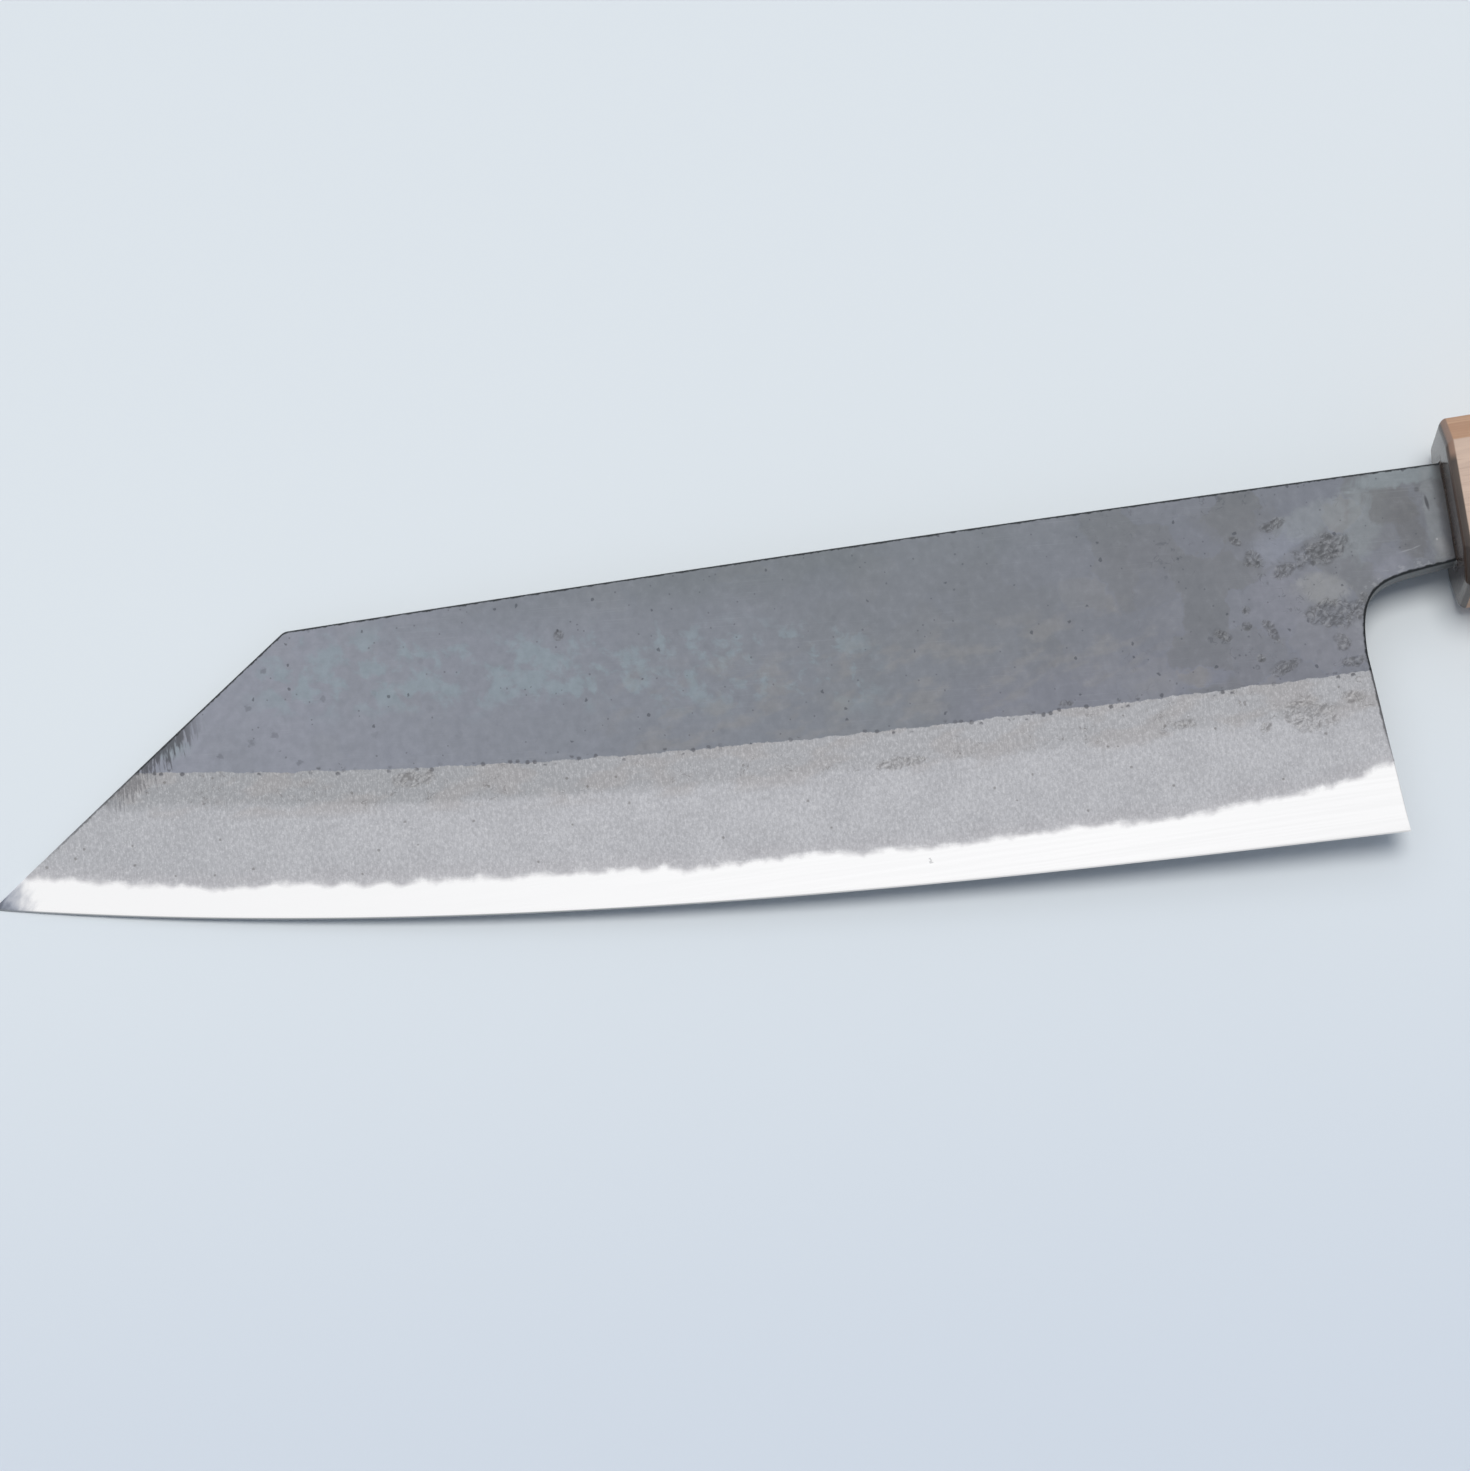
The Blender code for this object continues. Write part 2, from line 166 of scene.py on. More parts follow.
BEVEL_WAVES = 0.25              # share of the waves and of the wrinkles that the grinding left
BEVEL_FOLDS = 0.5
RELIEF_START = 0.35             # how far from the outline the relief starts and is whole
RELIEF_WHOLE = 1.2

# Line on the bevel where the iron ends and the core shows: height over the edge
CORE_LINE_HEIGHT = 4.9
CORE_LINE_DIP = 0.7
CORE_LINE_DIP_X = -167.0
CORE_LINE_DIP_WIDTH = 12.0
CORE_LINE_HEEL_RISE = 4.2
CORE_LINE_HEEL_REACH = 14.0
CORE_LINE_WAVES = ((9.0, 0.60), (2.6, 0.20))    # length and height of the waves in it

TIP_X = -(NECK_LENGTH + BLADE_LENGTH)
HEEL_X = -NECK_LENGTH
NECK_TOP = NECK_HEIGHT / 2
NECK_BOTTOM = -NECK_HEIGHT / 2
HEEL_Y = NECK_TOP - BLADE_HEIGHT
SHARP_ANGLE = 32                # edges sharper than this stay crisp, in degrees
HANDLE_SHARP_ANGLE = 26

# Pitted places in the scale: x, y, half length, half height, turn in degrees
LEFT_SCARS = (
    (-27.4, 0.1, 1.1, 0.5, -40), (-22.3, 1.6, 1.7, 0.8, 15), (-25.7, -2.6, 1.2, 1.3, 0),
    (-22.0, -4.6, 1.5, 1.0, 15), (-16.6, -2.7, 3.9, 1.8, 14), (-16.5, -11.0, 3.5, 1.9, -8),
    (-12.9, -10.4, 0.8, 1.8, -20), (-16.0, -14.9, 1.0, 1.3, 20), (-31.0, -11.8, 1.2, 0.7, -30),
    (-27.5, -9.1, 0.6, 0.6, 0), (-27.6, -11.0, 0.7, 0.6, 0), (-24.7, -12.2, 0.7, 2.0, 25),
    (-26.5, -15.5, 0.6, 0.6, 0), (-23.8, -17.0, 2.0, 0.9, 15), (-15.0, -17.6, 1.6, 0.7, 0),
    (-21.6, -23.4, 3.6, 2.2, -15), (-15.6, -22.1, 1.7, 0.8, -10), (-27.3, -24.2, 0.9, 0.6, 20),
    (-37.4, -22.4, 1.5, 0.7, 0), (-73.9, -22.0, 3.4, 0.8, 0), (-135.6, -14.9, 3.0, 1.0, 0),
    (-114.9, 0.9, 0.7, 0.7, 0), (-169.0, -6.6, 2.6, 1.3, 48), (-51.9, -17.6, 1.0, 0.5, 0),
)
RIGHT_SCARS = (
    (-21.0, 0.6, 3.8, 2.5, 20), (-15.4, -8.2, 2.6, 2.9, -15), (-29.6, -6.8, 2.4, 1.2, -30),
    (-33.8, 2.4, 1.4, 0.8, 10), (-26.0, -13.9, 1.2, 1.0, 0), (-44.5, -9.6, 1.8, 0.8, 25),
    (-62.7, 1.3, 1.1, 0.6, -20), (-88.2, -6.3, 1.5, 1.0, 40), (-120.4, -2.9, 0.9, 0.7, 0),
    (-19.3, -22.9, 2.8, 1.4, 0), (-57.0, -21.4, 2.0, 0.8, 0), (-150.8, -12.6, 2.2, 0.8, 0),
)


def knife_place():
    """Matrix that lays the knife's own frame, in millimetres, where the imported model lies."""
    mounts = {mount["name"]: Vector(mount["axis"]) for mount in frame["record"]["mounts"]}
    upward = mounts["blade_flat_left"] - mounts["blade_flat_right"]
    pitch = math.atan2(-upward.x, upward.z)
    turn = Matrix.Rotation(-pitch, 4, "Y")
    low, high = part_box("mouth_seal")
    seal_centre = Vector(((SEAL_RECESS + FRONT_WALL) / 2, 0.0, 0.0)) / METRE
    origin = (low + high) / 2 - turn @ seal_centre
    return origin, pitch, Matrix.Translation(origin) @ turn @ Matrix.Scale(1 / METRE, 4)


ORIGIN, PITCH, KNIFE_TO_WORLD = knife_place()


def smooth_step(low, high, value):
    """Goes smoothly from 0 to 1 while the value goes from low to high."""
    share = min(max((value - low) / (high - low), 0.0), 1.0)
    return share * share * (3 - 2 * share)


# Lines and sections of the blade

def edge_y(x):
    """The cutting edge: nearly straight at the heel, sweeping up to the tip."""
    t = max(0.0, (HEEL_X - x) / BLADE_LENGTH)
    return HEEL_Y + EDGE_RISE_EVEN * t + EDGE_RISE_BELLY * t ** 3


def bevel_top_y(x):
    """The line between the forged flat and the ground bevel."""
    t = (HEEL_X - x) / BLADE_LENGTH
    return edge_y(x) + BEVEL_HEIGHT_HEEL + (BEVEL_HEIGHT_TIP - BEVEL_HEIGHT_HEEL) * t


def core_line_y(x):
    """The wavy line on the bevel where the iron jacket ends and the hard core shows."""
    x = min(x, HEEL_X)
    dip = CORE_LINE_DIP * math.exp(-((x - CORE_LINE_DIP_X) / CORE_LINE_DIP_WIDTH) ** 2)
    rise = CORE_LINE_HEEL_RISE * math.exp((x - HEEL_X) / CORE_LINE_HEEL_REACH)
    waves = sum(high * noise.noise(Vector((x / long, 0.37 * long, 0.0))) for long, high in CORE_LINE_WAVES)
    return edge_y(x) + CORE_LINE_HEIGHT - dip + rise + waves


def flat_half(x, y):
    """Half thickness between the forged flats, which taper to the tip and the edge, and along the tang."""
    at_wall = NECK_THICKNESS / 2 - FLAT_TAPER_DOWN * (NECK_TOP - y)
    if x <= FRONT_WALL:
        return at_wall + FLAT_TAPER_ALONG * min(x, 0.0)
    t = (x - FRONT_WALL) / (TANG_LENGTH - FRONT_WALL)
    return at_wall + (TANG_END_THICKNESS / 2 - at_wall) * t


def bevel_half(x, y):
    """Half thickness between the ground bevels."""
    low, high = edge_y(x), bevel_top_y(x)
    at_edge = EDGE_THICKNESS / 2
    return at_edge + (flat_half(x, high) - at_edge) * (y - low) / (high - low)


def blade_half(x, y):
    """Half thickness of the finished blade: the flat, the bevel, and the honed strip at the edge."""
    above = y - edge_y(x)
    if above < HONED_HEIGHT:
        top = bevel_half(x, edge_y(x) + HONED_HEIGHT)
        return HONED_HALF + (top - HONED_HALF) * max(above, 0.0) / HONED_HEIGHT
    return min(flat_half(x, y), bevel_half(x, y))


def weld_half(x, y):
    """Half thickness of the core under the jackets; on the core line it comes up to the bevel."""
    line = core_line_y(x)
    at_line = blade_half(x, line)
    if abs(y - line) < NEAR:
        return at_line
    t = (HEEL_X - min(x, HEEL_X)) / BLADE_LENGTH
    core = CORE_THICKNESS_HEEL + (CORE_THICKNESS_TIP - CORE_THICKNESS_HEEL) * t
    return min(core / 2, at_line)


def eased(half, distance, radius):
    """Half thickness where the corner at that distance is rounded over."""
    if distance >= radius:
        return half
    return half - radius + math.sqrt(max(radius ** 2 - (radius - distance) ** 2, 0.0))


# Outline of the blade

def steps_for(length, step=OUTLINE_STEP):
    """How many steps of at most that size a length takes."""
    return max(1, math.ceil(length / step))


def swollen_line(start, end, swell):
    """Points on a shallow curve that swells to its left, both ends included."""
    side = Vector((start.y - end.y, end.x - start.x)).normalized()
    count = steps_for((end - start).length)
    points = []
    for i in range(count + 1):
        t = i / count
        points.append(start.lerp(end, t) + side * swell * 4 * t * (1 - t))
    return points


def rounded_corner(before, corner, after, radius):
    """Points of the arc of that radius which rounds a corner."""
    back = (before - corner).normalized()
    ahead = (after - corner).normalized()
    half = back.angle(ahead) / 2
    centre = corner + (back + ahead).normalized() * radius / math.sin(half)
    first = corner + back * radius / math.tan(half) - centre
    last = corner + ahead * radius / math.tan(half) - centre
    count = steps_for((last - first).length)
    return [centre + first.lerp(last, i / count).normalized() * radius for i in range(count + 1)]


def blade_contour():
    """The outline without its edge: from the tip over the spine, round the tang and down to the heel."""
    tip = Vector((TIP_X, edge_y(TIP_X)))
    corner = Vector((-SPINE_LENGTH, NECK_TOP + SPINE_CORNER_RISE))
    tip_line = swollen_line(tip, corner, TIP_LINE_SWELL)
    spine = swollen_line(corner, Vector((0.0, NECK_TOP)), SPINE_ARCH)
    arc = rounded_corner(tip_line[-2], corner, spine[1], SPINE_CORNER_RADIUS)
    tip_line = [p for p in tip_line if (p - corner).length > (arc[0] - corner).length + NEAR]
    spine = [p for p in spine if (p - corner).length > (arc[-1] - corner).length + NEAR]

    shoulder = FRONT_WALL + TANG_SHOULDER
    tang = [Vector(p) for p in (
        (FRONT_WALL, NECK_TOP), (shoulder, TANG_ROOT_HEIGHT / 2), (TANG_LENGTH, TANG_END_HEIGHT / 2),
        (TANG_LENGTH, -TANG_END_HEIGHT / 2), (shoulder, -TANG_ROOT_HEIGHT / 2), (FRONT_WALL, NECK_BOTTOM),
    )]
    choil_x = HEEL_X - CHOIL_SET_BACK
    handles = [
        (0.0, NECK_BOTTOM), (choil_x + CHOIL_CURVE_REACH, NECK_BOTTOM - CHOIL_CURVE_SAG),
        (choil_x, NECK_BOTTOM), (choil_x, NECK_BOTTOM - CHOIL_CURVE_DROP),
    ]
    count = steps_for(HEEL_X - choil_x + NECK_LENGTH + CHOIL_CURVE_DROP)
    choil = [p.to_2d() for p in interpolate_bezier(*[Vector((*h, 0.0)) for h in handles], count)]
    heel_line = swollen_line(choil[-1], Vector((HEEL_X, HEEL_Y)), 0.0)
    return tip_line + arc + spine + tang + choil + heel_line[1:]


def core_line_crossing(inside, outside):
    """Where the outline crosses the core line, between a point over it and one under it."""
    for _ in range(CROSSING_STEPS):
        middle = (inside + outside) / 2
        if middle.y > core_line_y(middle.x):
            inside = middle
        else:
            outside = middle
    return Vector((inside.x, core_line_y(inside.x)))


def line_points(line, start_x, end_x, step=OUTLINE_STEP, rise=0.0):
    """Points of a line over x, without its two ends."""
    count = steps_for(abs(end_x - start_x), step)
    places = [start_x + (end_x - start_x) * i / count for i in range(1, count)]
    return [Vector((x, line(x) + rise)) for x in places]


# Filled regions in the blade's plane

def fill(loop, extra=()):
    """Triangles that fill the loop and use the extra points, with the numbers of the loop's corners."""
    rim = [(i, (i + 1) % len(loop)) for i in range(len(loop))]
    places, _, faces, sources, _, _ = delaunay_2d_cdt(list(loop) + list(extra), rim, [], 1, NEAR / 10)
    number = {source: i for i, found in enumerate(sources) for source in found}
    return places, faces, [number[i] for i in range(len(loop))]


class Region:
    """A closed outline in the blade's plane."""

    def __init__(self, loop):
        self.loop = loop
        self.filled = fill(loop)
        places, faces, _ = self.filled
        self.tree = BVHTree.FromPolygons([p.to_3d() for p in places], faces)

    def holds(self, place):
        """Whether a place lies in the region."""
        return self.tree.find_nearest(place.to_3d())[3] < NEAR


class Outline:
    """The blade's whole outline, cut at the core line into what the jackets cover and what stays bare."""

    def __init__(self):
        contour = blade_contour()
        over = [i for i, p in enumerate(contour) if p.y > core_line_y(p.x)]
        first, last = over[0], over[-1]
        tip_end = core_line_crossing(contour[first], contour[first - 1])
        heel_end = core_line_crossing(contour[last], contour[last + 1])
        self.tip_end, self.heel_end = tip_end, heel_end
        self.upper = [tip_end] + contour[first:last + 1] + [heel_end]
        self.heel_side = [heel_end] + contour[last + 1:]
        self.tip_side = contour[:first] + [tip_end]
        edge = line_points(edge_y, HEEL_X, TIP_X)
        core_line = line_points(core_line_y, heel_end.x, tip_end.x)
        self.bare_rim = self.heel_side + edge + self.tip_side
        self.covered = Region(self.upper + core_line)
        self.bare = Region(self.bare_rim + core_line[::-1])

        ribbon = [(p.x, p.y, z) for p in contour for z in (-1.0, 1.0)]
        quads = [(2 * i, 2 * i + 1, 2 * i + 3, 2 * i + 2) for i in range(len(contour) - 1)]
        self.contour_tree = BVHTree.FromPolygons(ribbon, quads)

    def distance(self, place):
        """How far a place lies from the outline, its cutting edge apart."""
        return self.contour_tree.find_nearest(place.to_3d())[3]


def hem_points(run, outline, region):
    """Rows of points that follow a run of the outline, close enough to carry its rounded corner."""
    points = []
    for before, here, after in zip(run, run[1:], run[2:]):
        ahead = (after - before).normalized()
        inward = Vector((ahead.y, -ahead.x))
        for offset in HEM_OFFSETS:
            place = here + inward * offset
            clear = outline.distance(place) > HEM_CLEARANCE * offset
            if place.x < SKIN_END and clear and region.holds(place):
                points.append(place)
    return points


def lattice(region, spacing_at, step, low, high):
    """Points of a triangular lattice, kept where that spacing is the one asked for."""
    points = []
    rows = steps_for(high.y - low.y, step * ROW_HEIGHT)
    columns = steps_for(high.x - low.x, step)
    for row in range(rows + 1):
        for column in range(columns + 1):
            place = Vector((low.x + (column + row % 2 / 2) * step, low.y + row * step * ROW_HEIGHT))
            if spacing_at(place) == step and region.holds(place):
                points.append(place)
    return points


# Pits and waves of the forged surface

def scar_share(scar, x, y):
    """How far inside a pitted place a point lies: 1 at its middle, 0 on its rim, less outside."""
    middle_x, middle_y, half_long, half_high, turn = scar
    turn = math.radians(turn)
    along = (x - middle_x) * math.cos(turn) + (y - middle_y) * math.sin(turn)
    across = (y - middle_y) * math.cos(turn) - (x - middle_x) * math.sin(turn)
    reach = math.hypot(along / half_long, across / half_high)
    return 1 - reach + SCAR_RAG_DEPTH * noise.noise(Vector((x, y, middle_x)) / SCAR_RAG)


def nearest_scar(scars, x, y):
    """The share of the pitted place that a point lies deepest in; -1 far from all of them."""
    shares = []
    for scar in scars:
        reach = SCAR_BOX * max(scar[2:4])
        if abs(x - scar[0]) < reach and abs(y - scar[1]) < reach:
            shares.append(scar_share(scar, x, y))
    return max(shares, default=-1.0)


def scar_folds(x, y, share, side):
    """Height of the wrinkles in a pitted place, and a mark: above 0 on hollows darkened by dirt and painted
    shade, below 0 on tops lightened by rubbing and painted highlight.
    """
    if share < SCAR_FOLDS_END:
        return 0.0, 0.0
    turn = math.radians(FOLD_TURN)
    along = (x * math.cos(turn) + y * math.sin(turn)) * FOLD_STRETCH
    across = y * math.cos(turn) - x * math.sin(turn)
    spot = Vector((along, across, FOLD_SIDE_PLACE * side)) / FOLD_SIZE
    spot += WANDER * Vector([noise.noise(WANDER_RATE * spot + place) for place in WANDER_PLACES])
    fold = noise.fractal(spot, 0.8, 2.0, 2)
    inside = smooth_step(*FOLD_ONSET, share)
    groove = max(0.0, 1 - abs(share) / GROOVE_WIDTH)
    groove *= smooth_step(*GROOVE_NOISE, noise.noise(GROOVE_RATE * spot))
    height = inside * FOLD_DEPTH * min(max(fold, -FOLD_LIMIT), FOLD_LIMIT) - GROOVE_DEPTH * groove
    # Darker hollows and lighter tops: dirt and rubbed wear, and the painted shade and highlight of the
    # wrinkles' relief.
    darker_here = smooth_step(*DIRT_AND_SHADE_NOISE, noise.noise(DIRT_AND_SHADE_RATE * spot))
    dirt_and_shade = inside * (LEAST_DIRT_AND_SHADE + (1 - LEAST_DIRT_AND_SHADE) * darker_here) * smooth_step(*FOLD_DIRT_AND_SHADE, -fold)
    rubbed = inside * smooth_step(*FOLD_RUB_AND_HIGHLIGHT, fold)
    return height, max(dirt_and_shade, GROOVE_DIRT_AND_SHADE * groove) - rubbed


def forge_relief(x, y, folds, side):
    """Rise of the worked surface over its plane."""
    spot = Vector((x, y, WAVE_SIDE_PLACE * side))
    height = FORGE_DEPTH * noise.fractal(spot / FORGE_WAVE, 1.0, 2.0, 2)
    height += SCALE_DEPTH * noise.fractal(spot / SCALE_LUMP, 0.8, 2.0, 3)
    if y < bevel_top_y(x):
        return BEVEL_WAVES * height + BEVEL_FOLDS * folds
    return height + folds


# Meshes of the blade

BLADE_MARKS = ("rim", "over_bevel", "over_core", "over_edge", "scar", "fold")


def add_sheet(bm, filled, surface):
    """One side of a blade piece; surface gives the height and the marks of a place."""
    places, faces, rim = filled
    layers = [bm.verts.layers.float.get(name) or bm.verts.layers.float.new(name) for name in BLADE_MARKS]
    corners = []
    for place in places:
        height, marks = surface(place)
        corner = bm.verts.new((place.x, place.y, height))
        for layer, mark in zip(layers, marks):
            corner[layer] = mark
        corners.append(corner)
    for face in faces:
        bm.faces.new([corners[i] for i in face])
    return [corners[i] for i in rim]


def add_wall(bm, first, second, closed):
    """Quads between two rims."""
    last = len(first) if closed else len(first) - 1
    for i in range(last):
        j = (i + 1) % len(first)
        bm.faces.new((first[i], first[j], second[j], second[i]))


def place_marks(place, distance, scar=0.0, fold=0.0):
    """What a point of the blade's mesh tells its finish, in the order of the marks."""
    x, y = place
    return distance, y - bevel_top_y(x), y - core_line_y(x), y - edge_y(x), scar, fold


def mesh_of(name, bm):
    mesh = bpy.data.meshes.new(name)
    bm.to_mesh(mesh)
    bm.free()
    return mesh


def new_object(name, data):
    made = bpy.data.objects.new(name, data)
    bpy.context.scene.collection.objects.link(made)
    return made


def finished_piece(name, bm, finish, slot, node, sharp_angle=SHARP_ANGLE):
    """Turns the faces outwards, lays the piece in place and hands it to the frame."""
    bmesh.ops.recalc_face_normals(bm, faces=bm.faces)
    mesh = mesh_of(name, bm)
    mesh.transform(KNIFE_TO_WORLD)
    mesh.shade_smooth()
    mesh.set_sharp_from_angle(angle=math.radians(sharp_angle))
    mesh.materials.clear()
    mesh.materials.append(finish)
    piece = new_object(name, mesh)
    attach(piece, "root")
    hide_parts(node)


def jacket_points(outline, scars):
    """Points of a jacket's outer skin: hems, rows beside the creases, and lattices between them."""
    region = outline.covered
    points = hem_points(outline.upper, outline, region)
    rows = []
    for rise in (-ROW_OFFSET, 0.0, ROW_OFFSET):
        rows += line_points(bevel_top_y, HEEL_X, TIP_X, rise=rise)
    rows += line_points(core_line_y, HEEL_X, TIP_X, rise=ROW_OFFSET)
    hem = HEM_OFFSETS[-1]
    points += [p for p in rows if region.holds(p) and outline.distance(p) > hem + ROW_OFFSET / 2]

    def spacing_at(place):
        x, y = place
        if x > SKIN_END or outline.distance(place) < hem + ROW_OFFSET:
            return None
        if abs(y - bevel_top_y(x)) < BEVEL_CLEARANCE or abs(y - core_line_y(x)) < CORE_LINE_CLEARANCE:
            return None
        if nearest_scar(scars, x, y) > SCAR_SKIRT:
            return FINE_STEP
        return NECK_STEP if x > NECK_ZONE_X and y > bevel_top_y(x) else PLAIN_STEP

    low = Vector((TIP_X, HEEL_Y))
    high = Vector((1.0, NECK_TOP + 1))
    points += lattice(region, spacing_at, PLAIN_STEP, low, high)
    points += lattice(region, spacing_at, NECK_STEP, Vector((NECK_ZONE_X, HEEL_Y)), high)
    for scar in scars:
        reach = Vector((1, 1)) * SCAR_FINE_BOX * max(scar[2:4])
        middle = Vector(scar[:2])

        def in_this_scar(place):
            mine = scar_share(scar, *place) > SCAR_SKIRT
            earlier = nearest_scar(scars[:scars.index(scar)], *place) > SCAR_SKIRT
            return spacing_at(place) if mine and not earlier else None

        points += lattice(region, in_this_scar, FINE_STEP, middle - reach, middle + reach)
    return points


def make_jacket(outline, name, side, scars, finish, node):
    """An iron jacket: its worked skin, its plane inner face over the core, and the rim between them."""
    def outer(place):
        x, y = place
        distance = outline.distance(place)
        half = blade_half(x, y)
        room = half - weld_half(x, y) - WELD_GAP
        radius = min(EASED_CORNER, CORNER_ROOM * max(room, 0.0))
        share = nearest_scar(scars, x, y)
        folds, fold = scar_folds(x, y, share, side)
        relief = forge_relief(x, y, folds, side)
        relief *= smooth_step(RELIEF_START, RELIEF_WHOLE, distance)
        relief *= smooth_step(0.0, RELIEF_WHOLE, y - core_line_y(x))
        half = eased(half, distance, radius) + relief
        least = weld_half(x, y) + WELD_GAP + JACKET_STEP
        return side * max(half, least), place_marks(place, distance, smooth_step(*SCAR_TINT, share), fold)

    def inner(place):
        return side * (weld_half(*place) + WELD_GAP), place_marks(place, outline.distance(place))

    bm = bmesh.new()
    skin = fill(outline.covered.loop, jacket_points(outline, scars))
    add_wall(bm, add_sheet(bm, skin, outer), add_sheet(bm, outline.covered.filled, inner), closed=True)
    finished_piece(name, bm, finish, "cladding_iron", node)


def core_points(outline):
    """Points of the core's bare bevel: hems at its ends, rows beside the honed strip, and a lattice."""
    region = outline.bare
    points = hem_points(outline.heel_side, outline, region)
    points += hem_points(outline.tip_side, outline, region)
    rows = []
    for rise in (ROW_OFFSET, HONED_HEIGHT, HONED_HEIGHT + ROW_OFFSET):
        rows += line_points(edge_y, HEEL_X, TIP_X, rise=rise)
    rows += line_points(core_line_y, HEEL_X, TIP_X, rise=-ROW_OFFSET)
    hem = HEM_OFFSETS[-1]
    points += [p for p in rows if region.holds(p) and outline.distance(p) > hem]

    def spacing_at(place):
        x, y = place
        over_edge = y - edge_y(x) > HONED_HEIGHT + 2 * ROW_OFFSET
        under_line = core_line_y(x) - y > 2 * ROW_OFFSET
        return CORE_STEP if outline.distance(place) > 2 * hem and over_edge and under_line else None

    return points + lattice(region, spacing_at, CORE_STEP, Vector((TIP_X, HEEL_Y)), Vector((HEEL_X, 0.0)))


def make_core(outline, finish):
    """The steel core, plain under the jackets and finished where it is bare."""
    bare = fill(outline.bare.loop, core_points(outline))
    bm = bmesh.new()
    rims = []
    for side in (1, -1):
        def covered_side(place):
            return side * weld_half(*place), place_marks(place, outline.distance(place))

        def bare_side(place):
            x, y = place
            distance = outline.distance(place)
            half = blade_half(x, y)
            bare_height = max(core_line_y(x) - y, 0.0)
            radius = min(EASED_CORE_CORNER, CORE_CORNER_ROOM * half, CORE_CORNER_RISE * bare_height)
            return side * eased(half, distance, radius), place_marks(place, distance)

        rims.append((add_sheet(bm, outline.covered.filled, covered_side), add_sheet(bm, bare, bare_side)))
    (covered_left, bare_left), (covered_right, bare_right) = rims
    upper, rim = len(outline.upper), len(outline.bare_rim)
    add_wall(bm, covered_left[:upper], covered_right[:upper], closed=False)
    add_wall(bm, bare_left[:rim], bare_right[:rim], closed=False)
    bmesh.ops.remove_doubles(bm, verts=bm.verts, dist=2 * NEAR)
    finished_piece("core_blade", bm, finish, "core_steel", "core_steel")


# Building trees of nodes

SOCKET_KINDS = {float: "Float", int: "Int", tuple: "Vector", type(None): "Material"}
NODE_SPACING = 180


def socket_name(word):
    return word.replace("_", " ").title().replace("Ior", "IOR")


